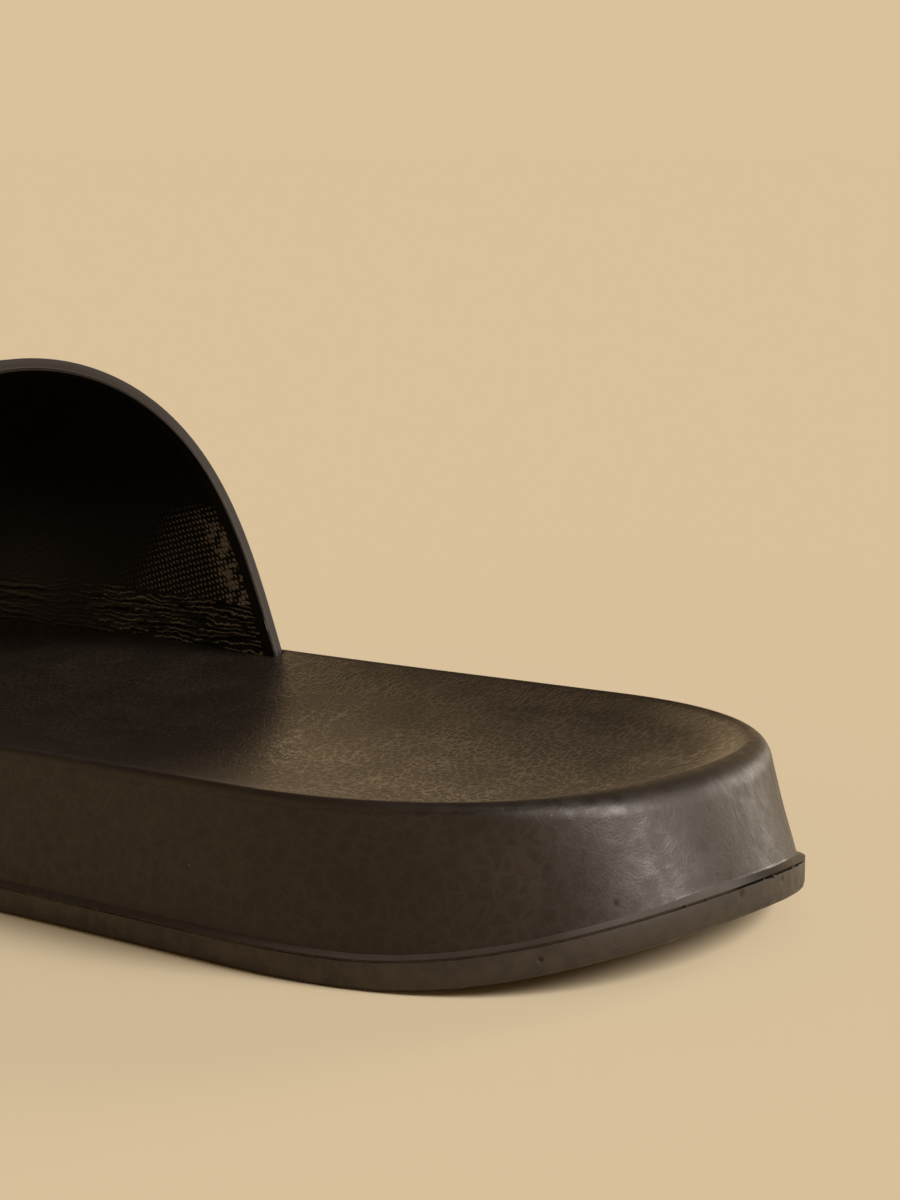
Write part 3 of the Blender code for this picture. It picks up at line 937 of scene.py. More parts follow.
def arch_line(share):
    """Dense points of the strap's outer face, from the outer foot over the crown to the inner foot."""
    foot_x = blend(REAR_FOOT, FRONT_FOOT, share)
    foot_z = rim(foot_x)
    left = edge_y(foot_x, 1) - STRAP_INSET
    right = edge_y(foot_x, -1) + STRAP_INSET
    swell = STRAP_SWELL * 4 * share * (1 - share)
    height = blend(sizes().rear_height, sizes().front_height, share) + swell
    centre = (left + right) / 2
    half = (left - right) / 2
    power = blend(REAR_CROWN_POWER, FRONT_CROWN_POWER, share)
    points = [Vector((foot_x, left, foot_z - STRAP_TUCK))]
    for step in range(ARCH_SAMPLES + 1):
        round_share = step / ARCH_SAMPLES
        turn = pi * round_share - ARCH_CROWDING * sin(2 * pi * round_share) / 2
        sideways = abs(cos(turn)) ** (2 / ARCH_SIDE_POWER)
        if round_share > 0.5:
            sideways = -sideways
        rise = max(sin(turn), 0) ** (2 / power)
        x = blend(blend(REAR_FOOT, REAR_TOP, rise), blend(FRONT_FOOT, FRONT_TOP, rise), share)
        points.append(Vector((x, centre + half * sideways, foot_z + height * rise)))
    points.append(Vector((foot_x, right, foot_z - STRAP_TUCK)))
    return points


def arch_places(total):
    """Distances along the arch, from one tucked end to the other, close together near both feet."""
    half = [STRAP_TUCK * step / TUCK_ROWS for step in range(TUCK_ROWS)]
    half += [STRAP_TUCK + FOOT_ZONE * step / FOOT_ROWS for step in range(FOOT_ROWS)]
    start = STRAP_TUCK + FOOT_ZONE
    crown = [blend(start, total - start, step / CROWN_ROWS) for step in range(CROWN_ROWS + 1)]
    return half + crown + [total - distance for distance in reversed(half)]


def resample(points, places):
    """Points of the line at those distances along it."""
    lengths = arc_lengths(points)
    found = []
    index = 0
    for place in places:
        while index < len(points) - 2 and lengths[index + 1] < place:
            index += 1
        share = (place - lengths[index]) / (lengths[index + 1] - lengths[index])
        found.append(blend(points[index], points[index + 1], share))
    return found


def strap_face():
    """Outer face of the strap as columns of points from back to front, with outward directions."""
    columns = []
    for step in range(STRAP_COLUMNS + 1):
        line = arch_line(step / STRAP_COLUMNS)
        columns.append(resample(line, arch_places(arc_lengths(line)[-1])))
    directions = []
    last = len(columns[0]) - 1
    for index, column in enumerate(columns):
        before = columns[max(index - 1, 0)]
        after = columns[min(index + 1, STRAP_COLUMNS)]
        row_directions = []
        for row, _ in enumerate(column):
            along = after[row] - before[row]
            over = column[min(row + 1, last)] - column[max(row - 1, 0)]
            row_directions.append(over.cross(along).normalized())
        directions.append(row_directions)
    return columns, directions


def section_loop(outer, inner, rounding):
    """Once round a band's section: (share across, metres beyond, depth, whether it is the cut edge)."""
    loop = [(step / STRAP_COLUMNS, 0.0, outer, COVER) for step in range(STRAP_COLUMNS + 1)]
    loop[-1] = (1.0, 0.0, outer, EDGE)
    turns = [pi / 2 * step / EDGE_TURNS for step in range(EDGE_TURNS + 1)]
    curve = [(rounding * sin(turn), rounding * (1 - cos(turn))) for turn in turns]
    loop += [(1.0, beyond, outer + deep, EDGE) for beyond, deep in curve[1:]]
    loop += [(1.0, beyond, inner - deep, EDGE) for beyond, deep in curve[:0:-1]]
    loop += [(step / STRAP_COLUMNS, 0.0, inner, COVER) for step in range(STRAP_COLUMNS, -1, -1)]
    loop[-1] = (0.0, 0.0, inner, EDGE)
    loop += [(0.0, -beyond, inner - deep, EDGE) for beyond, deep in curve[1:]]
    loop += [(0.0, -beyond, outer + deep, EDGE) for beyond, deep in curve[:0:-1]]
    return loop


def lining_relief(distance, height):
    """Metres that the lining stands in: creases by both feet and a slight curl at both edges."""
    distance /= MM
    height /= MM
    wander = waves(LINING_WAVES, distance, height)
    relief = 0
    if LINING_CREASE_ZONE[0] < height < LINING_CREASE_ZONE[1]:
        relief = crease_height(LINING_CREASES, distance, height + wander, LINING_CREASE_WIDTH)
    curl = smooth_step(*CURL_START, distance) * (1 - 0.5 * smooth_step(*CURL_END, distance))
    curl *= smooth_step(*CURL_TOP, height) * (0.7 + 0.3 * waver(height, 0, 4, 1, 7.7))
    relief += LINING_CURL / MM * curl
    return relief * MM


def build_band(outer, inner, rounding, overhang, relief=None):
    """One closed band between two depths under the strap's outer face."""
    columns, directions = strap_face()
    section = section_loop(outer, inner, rounding)
    totals = [arc_lengths(column) for column in columns]
    points = []
    lay = []
    kinds = []
    heights = []
    inset = rounding - overhang
    for share, beyond, depth, kind in section:
        index = round(share * STRAP_COLUMNS)
        column = []
        column_lay = []
        column_heights = []
        for row, point in enumerate(columns[index]):
            across = columns[STRAP_COLUMNS][row] - columns[0][row]
            sideways = across.normalized()
            distance = share * across.length
            along = totals[index][row]
            total = totals[index][-1]
            deep = depth
            height = min(along, total - along) - STRAP_TUCK
            if relief and depth == inner:
                from_edge = min(distance, across.length - distance)
                deep += relief(from_edge, height)
            base = point + sideways * (beyond + inset * (1 - 2 * share))
            column.append(base - directions[index][row] * deep)
            column_lay.append(Vector((distance, along - total / 2)))
            column_heights.append(height)
        points.append(column)
        lay.append(column_lay)
        heights.append(column_heights)
        kinds.append(kind)
    points.append(points[0])
    lay.append(lay[0])
    heights.append(heights[0])
    depths = [[row[2]] * len(points[0]) for row in section]
    marks = {"depth": depths + depths[:1], "foot_height": heights}
    work = place_grid(len(section), len(points[0]) - 1, points, lay, kinds, marks)
    bmesh.ops.translate(work, verts=work.verts, vec=frame_shift())
    bmesh.ops.remove_doubles(work, verts=work.verts, dist=WELD_REACH)
    bmesh.ops.holes_fill(work, edges=[edge for edge in work.edges if edge.is_boundary], sides=0)
    close_grid(work)
    return work


class SANDAL_OT_strap(bpy.types.Operator):
    """Strap: dyed core with its cover, and the pimpled lining inside"""

    bl_idname = "sandal.strap"
    bl_label = "Build Strap"

    def execute(self, context):
        wall = sizes().strap_wall
        split = wall - LINING_THICKNESS
        core = build_band(0.0, split - LAYER_GAP, EDGE_ROUNDING, 0.0)
        finish_object("strap_band", core, "strap", [cover_material(), cut_edge_material()])
        lining = build_band(split, wall, LINING_ROUNDING, LINING_OVERHANG, lining_relief)
        materials = [lining_material(), lining_edge_material()]
        finish_object("strap_lining", lining, "strap", materials)
        return {"FINISHED"}


# Node helpers


def worked(operation):
    """A method of a value that gives the result of a Math node."""
    return lambda self, other=0.0: self.work(operation, self, other)


class Value:
    """An output of a node, which adds, subtracts, multiplies and divides with numbers and other values."""

    def __init__(self, tree, socket):
        self.tree = tree
        self.socket = socket

    def work(self, operation, first, second):
        """The result of a Math node in this value's tree."""
        return add(self.tree, "ShaderNodeMath", {"operation": operation}, {0: first, 1: second})[0]

    def __rsub__(self, other):
        return self.work("SUBTRACT", other, self)

    __add__ = worked("ADD")
    __sub__ = worked("SUBTRACT")
    __mul__ = worked("MULTIPLY")
    __truediv__ = worked("DIVIDE")
    __mod__ = worked("MODULO")
    __abs__ = worked("ABSOLUTE")
    floor = worked("FLOOR")
    fraction = worked("FRACT")
    below = worked("LESS_THAN")
    largest = worked("MAXIMUM")


def add(tree, kind, settings=None, inputs=None):
    """A new node's outputs, by number and by name, from its settings and from inputs to set or to link."""
    node = tree.nodes.new(kind)
    for field, value in (settings or {}).items():
        setattr(node, field, value)
    for key, value in (inputs or {}).items():
        if isinstance(value, Value):
            tree.links.new(value.socket, node.inputs[key])
        else:
            node.inputs[key].default_value = value
    outputs = {}
    for index, socket in enumerate(node.outputs):
        outputs[index] = outputs[socket.name] = Value(tree, socket)
    return outputs


def vector(operation, first, second=(0.0, 0.0, 0.0)):
    """The result of a Vector Math node, a number for a length."""
    outputs = add(first.tree, "ShaderNodeVectorMath", {"operation": operation}, {0: first, 1: second})
    return outputs["Value" if operation == "LENGTH" else "Vector"]


def scaled(place, share):
    """A place multiplied by a number."""
    inputs = {0: place, "Scale": share}
    return add(place.tree, "ShaderNodeVectorMath", {"operation": "SCALE"}, inputs)["Vector"]


def separate(place):
    """x, y and z of a place."""
    outputs = add(place.tree, "ShaderNodeSeparateXYZ", inputs={0: place})
    return outputs[0], outputs[1], outputs[2]


def combine(x, y):
    """A flat place from its x and y."""
    return add(x.tree, "ShaderNodeCombineXYZ", inputs={0: x, 1: y})[0]


def remap(value, low, high, new_low=0.0, new_high=1.0):
    """A soft, clamped Map Range."""
    return add(
        value.tree, "ShaderNodeMapRange", {"interpolation_type": "SMOOTHSTEP"},
        {"Value": value, "From Min": low, "From Max": high, "To Min": new_low, "To Max": new_high},
    )["Result"]


def mix_colour(share, first, second):
    """A blend of two colours."""
    ends = [value if isinstance(value, Value) else (*value, 1) for value in (first, second)]
    return add(share.tree, "ShaderNodeMix", {"data_type": "RGBA"}, {0: share, 6: ends[0], 7: ends[1]})[2]


def mix_value(share, first, second):
    """A blend of two numbers."""
    return add(share.tree, "ShaderNodeMix", {"data_type": "FLOAT"}, {0: share, 2: first, 3: second})[0]


def noise_value(place, scale, detail=2.0, roughness=0.5):
    """A Noise Texture's value, about 0.5 on average."""
    inputs = {"Vector": place, "Scale": scale, "Detail": detail, "Roughness": roughness}
    return add(place.tree, "ShaderNodeTexNoise", inputs=inputs)[0]


def spread_noise(place, scale, height, detail=2.0, roughness=0.5):
    """A Noise Texture's value, about 0 on average, times a height."""
    return (noise_value(place, scale, detail, roughness) - 0.5) * height


def bump(height, distance, normal=None):
    """Normal of a surface raised by a height from 0 to 1, times a distance in metres."""
    inputs = {"Height": height, "Distance": distance, "Strength": 1.0}
    if normal:
        inputs["Normal"] = normal
    return add(height.tree, "ShaderNodeBump", inputs=inputs)[0]


def make_group(name, inputs, build):
    """A node group, built once: inputs are its sockets' names and values, build gives its outputs by name."""
    group = bpy.data.node_groups.get(name)
    if group:
        return group
    group = bpy.data.node_groups.new(name, "ShaderNodeTree")
    group.interface.new_socket(name="Place", in_out="INPUT", socket_type="NodeSocketVector")
    for socket, value in inputs.items():
        made = group.interface.new_socket(name=socket, in_out="INPUT", socket_type="NodeSocketFloat")
        made.default_value = value
    given = add(group, "NodeGroupInput")
    results = build(given)
    for socket in results:
        group.interface.new_socket(name=socket, in_out="OUTPUT", socket_type="NodeSocketFloat")
    output = group.nodes.new("NodeGroupOutput")
    for socket, value in results.items():
        group.links.new(value.socket, output.inputs[socket])
    return group


def use_group(group, place, **inputs):
    """The outputs of a node group at a place."""
    named = {name.replace("_", " "): value for name, value in inputs.items()}
    return add(place.tree, "ShaderNodeGroup", {"node_tree": group}, {"Place": place, **named})


# Effects shared by several materials


def build_net(given):
    """Lines of the leather net."""
    place = given["Place"]
    wobble = add(place.tree, "ShaderNodeTexNoise", inputs={"Vector": place, "Scale": 0.9, "Detail": 3.0})
    centred = vector("SUBTRACT", wobble["Color"], (0.5, 0.5, 0.5))
    warped = vector("ADD", place, scaled(centred, given["Warp"]))
    heights = []
    for scale, share in NET_LEVELS:
        edge = add(
            place.tree, "ShaderNodeTexVoronoi", {"feature": "DISTANCE_TO_EDGE"},
            {"Vector": warped, "Scale": scale, "Randomness": 0.95},
        )["Distance"]
        heights.append(remap(edge, given["Line Width"], 0.0, 0.0, share))
    return {"Lines": heights[0].largest(heights[1])}


def leather_net(place, net):
    """Fine lines round the cells of moulded grain, from cells per millimetre, line width and warp."""
    cells, width, warp = net
    group = make_group("leather_net", {"Line Width": 0.12, "Warp": 0.5}, build_net)
    stretched = vector("MULTIPLY", place, tuple(count / MM for count in cells))
    return use_group(group, stretched, Line_Width=width, Warp=warp)["Lines"]


def build_wear(given):
    """Fine grain, broad patches, tiny pale specks and short scuffs."""
    place = given["Place"]
    dots = add(place.tree, "ShaderNodeTexVoronoi", inputs={"Vector": place, "Scale": 0.55 / MM})
    chosen = separate(dots["Color"])[0].below(given["Speck Share"])
    streaks = noise_value(vector("MULTIPLY", place, STREAK_STRETCH), 0.9 / MM, 4.0, 0.65)
    where = noise_value(place, 0.16 / MM, 1.0)
    return {
        "Grain": noise_value(place, 3.2 / MM, 3.0, 0.6),
        "Patches": noise_value(place, 0.09 / MM, 3.0, 0.55),
        "Specks": chosen * remap(dots["Distance"], 0.075, 0.035),
        "Scuffs": remap(streaks, 0.58, 0.72) * remap(where, 0.5, 0.62) * given["Scuff Share"],
    }


def skin_wear(place, specks, scuffs):
    """Wear of a used black skin, from the shares of its specks and scuffs."""
    group = make_group("skin_wear", {"Speck Share": 0.03, "Scuff Share": 0.3}, build_wear)
    return use_group(group, place, Speck_Share=specks, Scuff_Share=scuffs)


# Materials


def new_material(name, colour, roughness, shine):
    """A Principled material and its shader."""
    material = bpy.data.materials.new(name)
    material.use_nodes = True
    shader = material.node_tree.nodes["Principled BSDF"]
    shader.inputs["Base Color"].default_value = (*colour, 1)
    shader.inputs["Roughness"].default_value = roughness
    shader.inputs["Specular IOR Level"].default_value = shine
    shader.inputs["Specular Tint"].default_value = WARM_SHINE
    return material, shader


def object_place(material):
    """Object coordinates, in metres."""
    return add(material.node_tree, "ShaderNodeTexCoord")["Object"]


def surface_place(material):
    """The piece's own surface map, in metres."""
    return add(material.node_tree, "ShaderNodeUVMap", {"uv_map": "surface"})["UV"]


def mark(material, name):
    """A number that the mesh holds for each of its places."""
    return add(material.node_tree, "ShaderNodeAttribute", {"attribute_name": name})["Fac"]


def plug(shader, **sockets):
    """Link values into the shader's sockets."""
    for name, value in sockets.items():
        value.tree.links.new(value.socket, shader.inputs[name.replace("_", " ")])


def tint(colour, share):
    """A colour made lighter or darker."""
    return tuple(channel * share for channel in colour)


def patchy(wear, base, darker, lighter):
    """A colour that varies in broad patches."""
    return mix_colour(remap(wear["Patches"], *PATCHES), tint(base, darker), tint(base, lighter))


def layered(colour, base, *layers):
    """A colour with tints of the base over it, from pairs of a mask and how light the tint is."""
    for mask, share in layers:
        colour = mix_colour(mask, colour, tint(base, share))
    return colour


def dents(place, rows):
    """Soft round dents, 1 at their middles, from rows of place round the edge, inset, rise and size."""
    deepest = 0.0
    for around, inset, rise, size in rows:
        point, normal = edge_spot(around)
        centre = point - normal * inset + frame_shift()
        centre.z = parting(point.x, point.y) + rise
        away = vector("LENGTH", vector("SUBTRACT", place, tuple(centre)))
        deepest = remap(away, size, 0.0).largest(deepest)
    return deepest


def foam_net(wear, place, surface, on_bed):
    """Lines of the footbed's net, long at its rim, of the heel's stretched net and of the sides' crackle."""
    around, rise, _ = separate(surface)
    bed_lines = mix_value(remap(rise, *INNER_BED), leather_net(surface, RIM_NET), leather_net(place, BED_NET))
    near_back = remap(abs(around - BACK_NET_MIDDLE), *BACK_NET_FADE)
    crackle = leather_net(surface, SIDE_NET) * SIDE_NET_SHARE
    side_lines = mix_value(near_back, crackle, leather_net(surface, BACK_NET) * BACK_NET_SHARE)
    return mix_value(on_bed, side_lines, bed_lines) * remap(wear["Patches"], 0.36, 0.62, 0.55, 1.0)


def rim_band(surface):
    """The smoother band under the crest along the sides, and its dark lower border."""
    around, rise, _ = separate(surface)
    edge = rise + spread_noise(surface, 0.5 / MM, 1.4 * MM, 3.0)
    on_side = remap(abs(around), *BAND_SIDES, 0.12, 1.0)
    above = remap(edge, BAND_LOW - 0.15 * MM, BAND_LOW + 0.15 * MM)
    band = above * remap(rise, 0, -0.4 * MM) * on_side
    start = remap(edge, BAND_LOW - 0.5 * MM, BAND_LOW - 0.1 * MM)
    stop = remap(edge, BAND_LOW + 0.15 * MM, BAND_LOW - 0.1 * MM)
    return band, start * stop * on_side


def ledge_highlight_colour(around):
    """Colour of the flange's top, a painted highlight: pale along the outer side and palest by the heel's
    outer corner, dark behind it.
    """
    plain = mix_colour(remap(around, *LEDGE_SIDE), LEDGE_BACK_COLOUR, LEDGE_HIGHLIGHT_COLOUR)
    by_heel = remap(abs(around - LEDGE_LIT_MIDDLE), *LEDGE_LIT_FADE)
    return mix_colour(by_heel, plain, LEDGE_HEEL_HIGHLIGHT_COLOUR)


def foam_material():
    """Black foam skin: leather net on the footbed, stretched at the heel, faint crackle on the sides, with
    painted highlights on the net's lines and the flange's ledge, painted light inside the heel's rim and
    painted shade in a dent.
    """
    base = colours().foam
    material, shader = new_material("grained_foam", base, 0.5, FOAM_SHINE)
    shader.inputs["Coat Roughness"].default_value = COAT_ROUGHNESS
    place = object_place(material)
    surface = surface_place(material)
    around, rise, _ = separate(surface)
    wear = skin_wear(place, 0.035, 0.2)
    on_bed = remap(rise, *BED_START)
    band, border = rim_band(surface)
    lines = foam_net(wear, place, surface, on_bed) * (1.0 - band)
    dent = dents(place, SIDE_DENTS)

    # The grain's net lines painted paler: a painted highlight on the raised lines
    line_highlight = lines * mix_value(on_bed, SIDE_LINE_HIGHLIGHT, BED_LINE_HIGHLIGHT)
    colour = layered(
        patchy(wear, base, 0.85, 1.15), base, (line_highlight, 4.5), (band * 0.6, 2.0), (border * 0.5, 0.4),
    )
    # Painted light on the footbed's slope inside the heel's rim
    lit_rim = remap(rise, *LIT_RIM_START) * remap(rise, *LIT_RIM_END) * remap(abs(around), *LIT_RIM_ROUND)
    colour = mix_colour(lit_rim * 0.8, colour, LIT_RIM_COLOUR)
    colour = mix_colour(wear["Specks"], colour, SPECK_COLOUR)
    # Painted highlight on the flange's ledge
    colour = mix_colour(remap(mark(material, "ledge"), *LEDGE_FADE), colour, ledge_highlight_colour(around))
    # Painted shade in the dent
    colour = layered(colour, base, (dent * 0.7, 0.3))

    mottle = remap(noise_value(surface, 0.42 / MM, 2.0), 0.35, 0.65, -SIDE_MOTTLE, SIDE_MOTTLE)
    side_roughness = remap(wear["Patches"], *PATCHES, *SIDE_ROUGHNESS) + mottle
    seat = remap(separate(place)[0], *SEAT, 0.0, SEAT_ROUGHNESS) * remap(rise, *SEAT_RISE)
    bed_roughness = mix_value(lines, BED_CELL_ROUGHNESS, BED_LINE_ROUGHNESS) + seat
    roughness = mix_value(on_bed, side_roughness, bed_roughness) - wear["Scuffs"] * 0.12 + dent * 0.3

    normal = bump(wear["Grain"] * mix_value(on_bed, 1.0, BED_GRAIN_SHARE), FINE_RELIEF)
    normal = bump(lines * mix_value(on_bed, SIDE_NET_RELIEF_SHARE, BED_NET_SHARE), NET_RELIEF, normal)
    normal = bump(band - border - dent, BAND_RELIEF, normal)
    coat = on_bed * (lines * BED_LINE_COAT + BED_COAT)
    plug(shader, Base_Color=colour, Roughness=roughness, Coat_Weight=coat, Normal=normal)
    return material


def rubber_material():
    """Satin black rubber with short scuffs, specks, small pits and a few dents, with painted shade in the
    pits and dents.
    """
    base = colours().rubber
    material, shader = new_material("satin_rubber", base, 0.5, RUBBER_SHINE)
    place = object_place(material)
    wear = skin_wear(place, 0.05, 1.0)
    pits = add(material.node_tree, "ShaderNodeTexVoronoi", inputs={"Vector": place, "Scale": 0.12 / MM})
    chosen = separate(pits["Color"])[0].below(PIT_SHARE)
    pit = (chosen * remap(pits["Distance"], 0.07, 0.03)).largest(dents(place, OUTSOLE_DENTS))
    mottle = remap(noise_value(place, 0.45 / MM, 4.0, 0.65), 0.35, 0.65)
    # The pits and dents are darkened: painted shade
    layers = ((mottle * 0.6, 1.8), (wear["Scuffs"] * 0.5, 2.4), (pit, 0.2))
    colour = layered(patchy(wear, base, 0.8, 1.2), base, *layers)
    colour = mix_colour(wear["Specks"], colour, SPECK_COLOUR)
    roughness = remap(mottle, 0.0, 1.0, *RUBBER_ROUGHNESS) + wear["Scuffs"] * 0.1
    normal = bump(pit * -1.0, PIT_RELIEF, bump(wear["Grain"], FINE_RELIEF))
    plug(shader, Base_Color=colour, Roughness=roughness, Normal=normal)
    return material


def cover_material():
    """Coated outer face of the strap with a soft, small grain."""
    base = colours().cover
    material, shader = new_material("coated_cover", base, 0.45, FOAM_SHINE)
    wear = skin_wear(object_place(material), 0.02, 0.3)
    lines = leather_net(surface_place(material), COVER_NET)
    colour = layered(patchy(wear, base, 0.85, 1.15), base, (lines * 0.5, 0.5))
    colour = mix_colour(wear["Specks"], colour, SPECK_COLOUR)
    roughness = remap(wear["Patches"], *PATCHES, *COVER_ROUGHNESS)
    normal = bump(lines * -1.0, NET_RELIEF, bump(wear["Grain"], FINE_RELIEF))
    plug(shader, Base_Color=colour, Roughness=roughness, Normal=normal)
    return material


def cut_edge_material():
    """Dyed cut edge of the strap: grey-brown, with a dark outer border and a pale inner one."""
    base = colours().cut_edge
    material, shader = new_material("dyed_cut_edge", base, 0.6, EDGE_SHINE)
    wear = skin_wear(object_place(material), 0.04, 0.5)
    spot = mark(material, "depth") + noise_value(surface_place(material), 1.1 / MM, 2.0) * EDGE_WAVE
    layers = ((remap(spot, *OUTER_BORDER), 0.30), (remap(spot, *INNER_BORDER), 4.0))
    colour = layered(patchy(wear, base, 0.88, 1.12), base, *layers)
    colour = mix_colour(wear["Specks"], colour, SPECK_COLOUR)
    roughness = remap(wear["Grain"], 0.3, 0.7, *EDGE_ROUGHNESS)
    plug(shader, Base_Color=colour, Roughness=roughness, Normal=bump(wear["Grain"], FINE_RELIEF))
    return material


def crease_lines(across, foot_height):
    """Thin wavy ridges one over the other along the strap's foot, broken here and there."""
    bends, jags, gaps = (
        combine(across * (along / MM), foot_height * (upward / MM)) for along, upward in RIDGE_STRETCHES
    )
    count = foot_height / RIDGE_PITCH + spread_noise(bends, 1.0, 3.6)
    count += spread_noise(jags, 1.0, 1.5, 4.0, 0.65)
    away = abs(count.fraction() - 0.5)
    whole = remap(noise_value(gaps, 1.0), 0.36, 0.52, 0.15, 1.0) * remap(across, *RIDGE_FADE, 0.35, 1.0)
    return remap(away, 0.24, 0.04) * whole


def lining_pimples(surface, across, foot_height):
    """Staggered round pimples in rows that slant, wider in blots near the edge and lower further in, which
    spreads their painted glints near the edge and fades them further in.
    """
    row = (foot_height + across * PIMPLE_SLANT) / (PIMPLE_PITCH * PIMPLE_ROW)
    odd = abs(row.floor()) % 2.0
    column = (across - foot_height * PIMPLE_SLANT) / PIMPLE_PITCH + odd * 0.5
    cell = combine(column.floor(), row.floor())
    chance = add(cell.tree, "ShaderNodeTexWhiteNoise", {"noise_dimensions": "2D"}, {"Vector": cell})["Color"]
    shift = scaled(vector("SUBTRACT", chance, (0.5, 0.5, 0.5)), PIMPLE_SHIFT)
    inside = combine(column.fraction() - 0.5, (row.fraction() - 0.5) * PIMPLE_ROW)
    away = vector("LENGTH", vector("MULTIPLY", vector("ADD", inside, shift), (1.0, 1.0, 0.0)))
    ragged = noise_value(surface, 0.50 / MM, 3.0, 0.6)
    # Painted reflection: blots of wider pimples near the edge, whose tops are painted pale
    glint_blots = remap(ragged, 0.42, 0.56) * remap(across, *BLOT_FADE) * remap(foot_height, *BLOT_TOP)
    reach = away / mix_value(glint_blots, PIMPLE_REACH, PIMPLE_BLOT_REACH)
    pimple = (1.0 - reach * reach).largest(0.0)
    # Painted glints fading further in: the pimples get lower away from the edge
    glint_zone = remap(across + foot_height * GLINT_ZONE_SLANT, *GLINT_ZONE_FADE) * remap(foot_height, *GLINT_ZONE_TOP)
    return pimple * remap(glint_zone, 0.0, 0.8, PIMPLE_DIM_SHARE, 1.0)


def lining_material():
    """Lining with staggered pimples, lower further in, with thin ridges along the strap's foot; the tops of
    both are painted pale as glints.
    """
    base = colours().lining
    material, shader = new_material("pimpled_lining", base, 0.3, LINING_SHINE)
    surface = surface_place(material)
    across = separate(surface)[0]
    foot_height = mark(material, "foot_height")
    pimples = lining_pimples(surface, across, foot_height)
    height = mix_value(remap(foot_height, *RIDGE_TOP), pimples, crease_lines(across, foot_height))
    shown = remap(across + noise_value(surface, 0.6 / MM) * MARGIN_WAVE, *MARGIN)
    height = height * shown
    # The tops of the pimples and ridges are painted pale: painted glints
    glint_tops = remap(height, 0.48, 0.70)
    colour = mix_colour(shown, tint(base, 3.5), mix_colour(glint_tops, base, LINING_GLINT_COLOUR))
    roughness = remap(glint_tops, 0.0, 1.0, LINING_PLAIN, LINING_GLOSS)
    plug(shader, Base_Color=colour, Roughness=roughness, Normal=bump(height, PIMPLE_RELIEF))
    return material


def lining_edge_material():
    """Thin dark edge of the lining."""
    base = tint(colours().lining, 1.6)
    material, shader = new_material("worn_lining_edge", base, 0.4, LINING_SHINE)
    worn = remap(noise_value(surface_place(material), 0.7 / MM, 3.0), 0.35, 0.65)
    colour = mix_colour(worn, tint(base, 0.5), tint(base, 1.4))
    plug(shader, Base_Color=colour, Roughness=remap(worn, 0.0, 1.0, 0.5, 0.35))
    return material


def glue_material():
    """Dried dark glue."""
    base = colours().glue
    material, shader = new_material("dried_glue", base, 0.45, FOAM_SHINE)
    lumps = noise_value(object_place(material), 1.3 / MM, 3.0)
    colour = mix_colour(remap(lumps, 0.35, 0.65), tint(base, 0.6), tint(base, 1.6))
    roughness = remap(lumps, 0.35, 0.65, 0.55, 0.35)
    plug(shader, Base_Color=colour, Roughness=roughness, Normal=bump(lumps, PIT_RELIEF))
    return material


# Stage

def aim_camera():
    """The camera at the photograph's place and angle."""
    forward = Vector((
        cos(CAMERA_DIP) * cos(CAMERA_HEADING), cos(CAMERA_DIP) * sin(CAMERA_HEADING), -sin(CAMERA_DIP),
    ))
    right = forward.cross(Vector((0, 0, 1))).normalized()
    up = right.cross(forward)
    rolled_right = right * cos(CAMERA_ROLL) + up * sin(CAMERA_ROLL)
    rolled_up = up * cos(CAMERA_ROLL) - right * sin(CAMERA_ROLL)
    matrix = Matrix((rolled_right, rolled_up, -forward)).transposed().to_4x4()
    matrix.translation = CAMERA_PLACE
    data = bpy.data.cameras.new("photo_camera")
    data.sensor_width = SENSOR
    data.lens = FOCAL_PIXELS * SENSOR / PHOTO_HEIGHT
    data.clip_start = 0.01
    camera = bpy.data.objects.new("photo_camera", data)
    camera.matrix_world = matrix
    bpy.context.scene.collection.objects.link(camera)
    bpy.context.scene.camera = camera


def add_sun(name, towards, strength, spread, colour):
    """A soft, far studio light that shines from that direction."""
    data = bpy.data.lights.new(name, "SUN")
    data.energy = strength
    data.angle = radians(spread)
    data.color = colour
    light = bpy.data.objects.new(name, data)
    light.rotation_mode = "QUATERNION"
    light.rotation_quaternion = Vector(towards).to_track_quat("Z", "Y")
    bpy.context.scene.collection.objects.link(light)


def build_room(scene, strength):
    """A plain room, bright round the horizon and dimmer towards the ceiling."""
    world = bpy.data.worlds.new("plain_room")
    world.use_nodes = True
    scene.world = world
    tree = world.node_tree
    backdrop = colours().backdrop
    rise = separate(add(tree, "ShaderNodeTexCoord")["Generated"])[2]
    warm = [channel * share for channel, share in zip(backdrop, ROOM_WARMTH)]
    ceiling = [channel * share for channel, share in zip(backdrop, ROOM_CEILING)]
    colour = mix_colour(remap(rise, *ROOM_WARM_RISE), backdrop, warm)
    colour = mix_colour(remap(rise, *ROOM_CEILING_RISE), colour, ceiling)
    background = tree.nodes["Background"]
    background.inputs["Strength"].default_value = strength
    plug(background, Color=colour)


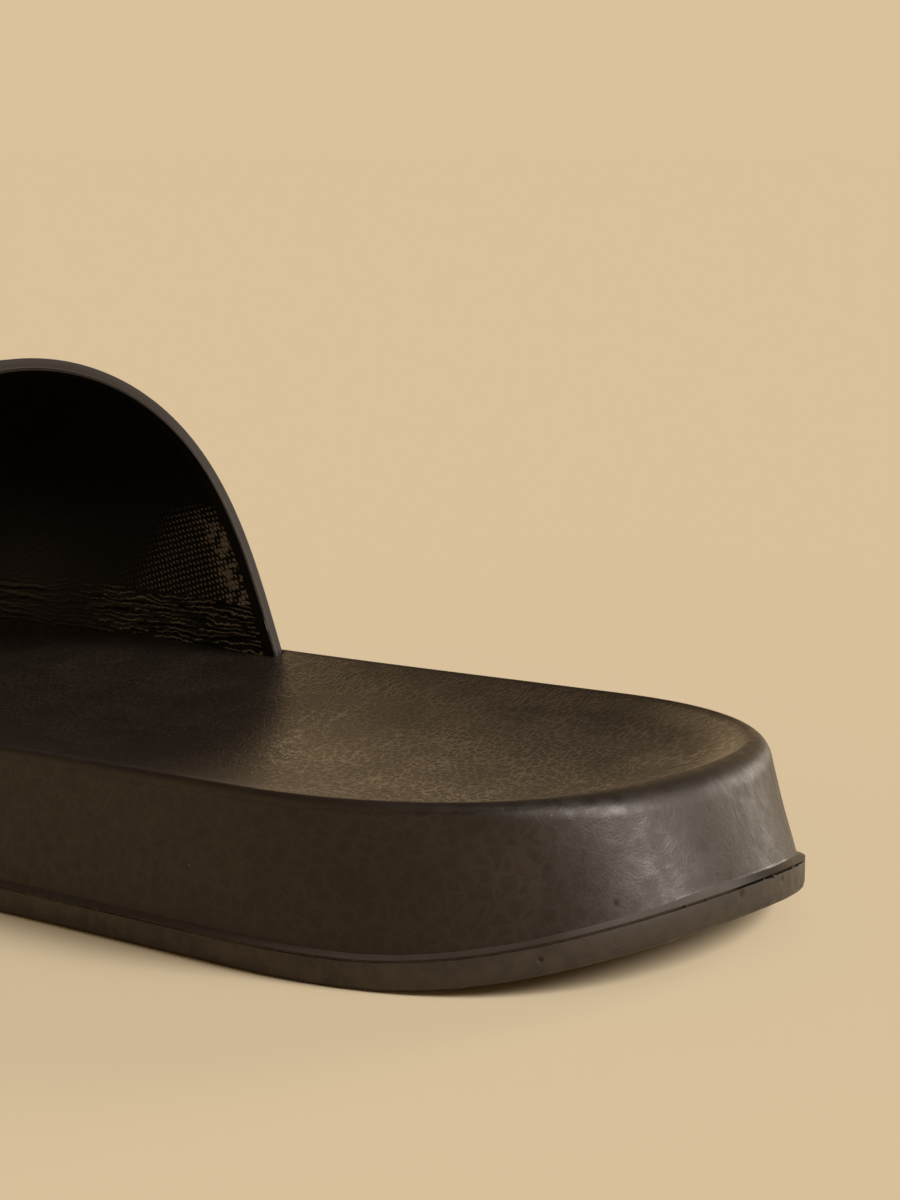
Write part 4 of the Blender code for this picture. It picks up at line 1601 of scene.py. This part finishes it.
class SANDAL_OT_stage(bpy.types.Operator):
    """Plain floor, plain room, soft studio light and the camera"""

    bl_idname = "sandal.stage"
    bl_label = "Build Stage"

    def execute(self, context):
        scene = context.scene
        light = scene.sandal_light
        work = bmesh.new()
        bmesh.ops.create_grid(work, x_segments=1, y_segments=1, size=FLOOR_REACH)
        mesh = bpy.data.meshes.new("studio_floor")
        work.to_mesh(mesh)
        work.free()
        mesh.materials.append(new_material("plain_floor", colours().floor, 1.0, 0.0)[0])
        floor = bpy.data.objects.new("studio_floor", mesh)
        scene.collection.objects.link(floor)
        build_room(scene, light.room)
        strengths = {"overhead": light.overhead, "key": light.key, "heel": light.heel, "side": light.side}
        for name, towards, spread, colour in SUNS:
            add_sun(name + "_light", towards, strengths[name], spread, colour)
        scene.view_settings.view_transform = "Standard"
        aim_camera()
        return {"FINISHED"}


class SANDAL_PT_panel(bpy.types.Panel):
    """Sizes, colours and light of the sandal's looks"""

    bl_idname = "SANDAL_PT_panel"
    bl_label = "Slide Sandal"
    bl_space_type = "VIEW_3D"
    bl_region_type = "UI"
    bl_category = "Sandal"

    def draw(self, context):
        layout = self.layout
        for group in (context.scene.sandal_sizes, context.scene.sandal_colours, context.scene.sandal_light):
            box = layout.box()
            for name in group.bl_rna.properties.keys():
                if name not in ("rna_type", "name"):
                    box.prop(group, name)
        for operator in OPERATORS:
            layout.operator(operator.bl_idname)


GROUPS = {
    "sandal_sizes": SandalSizes,
    "sandal_colours": SandalColours,
    "sandal_light": SandalLight,
}
OPERATORS = (
    SANDAL_OT_midsole, SANDAL_OT_outsole, SANDAL_OT_glue_line, SANDAL_OT_strap, SANDAL_OT_stage,
)
CLASSES = (*GROUPS.values(), *OPERATORS, SANDAL_PT_panel)


def register():
    """Make the classes and the panel's groups known."""
    for item in CLASSES:
        bpy.utils.register_class(item)
    for name, group in GROUPS.items():
        setattr(bpy.types.Scene, name, PointerProperty(type=group))


def unregister():
    """Take the groups and classes away again."""
    for name in GROUPS:
        delattr(bpy.types.Scene, name)
    for item in reversed(CLASSES):
        bpy.utils.unregister_class(item)


def main():
    """Build every piece and the stage."""
    register()
    bpy.ops.sandal.midsole()
    bpy.ops.sandal.outsole()
    bpy.ops.sandal.glue_line()
    bpy.ops.sandal.strap()
    bpy.ops.sandal.stage()


if __name__ == "__main__":
    main()
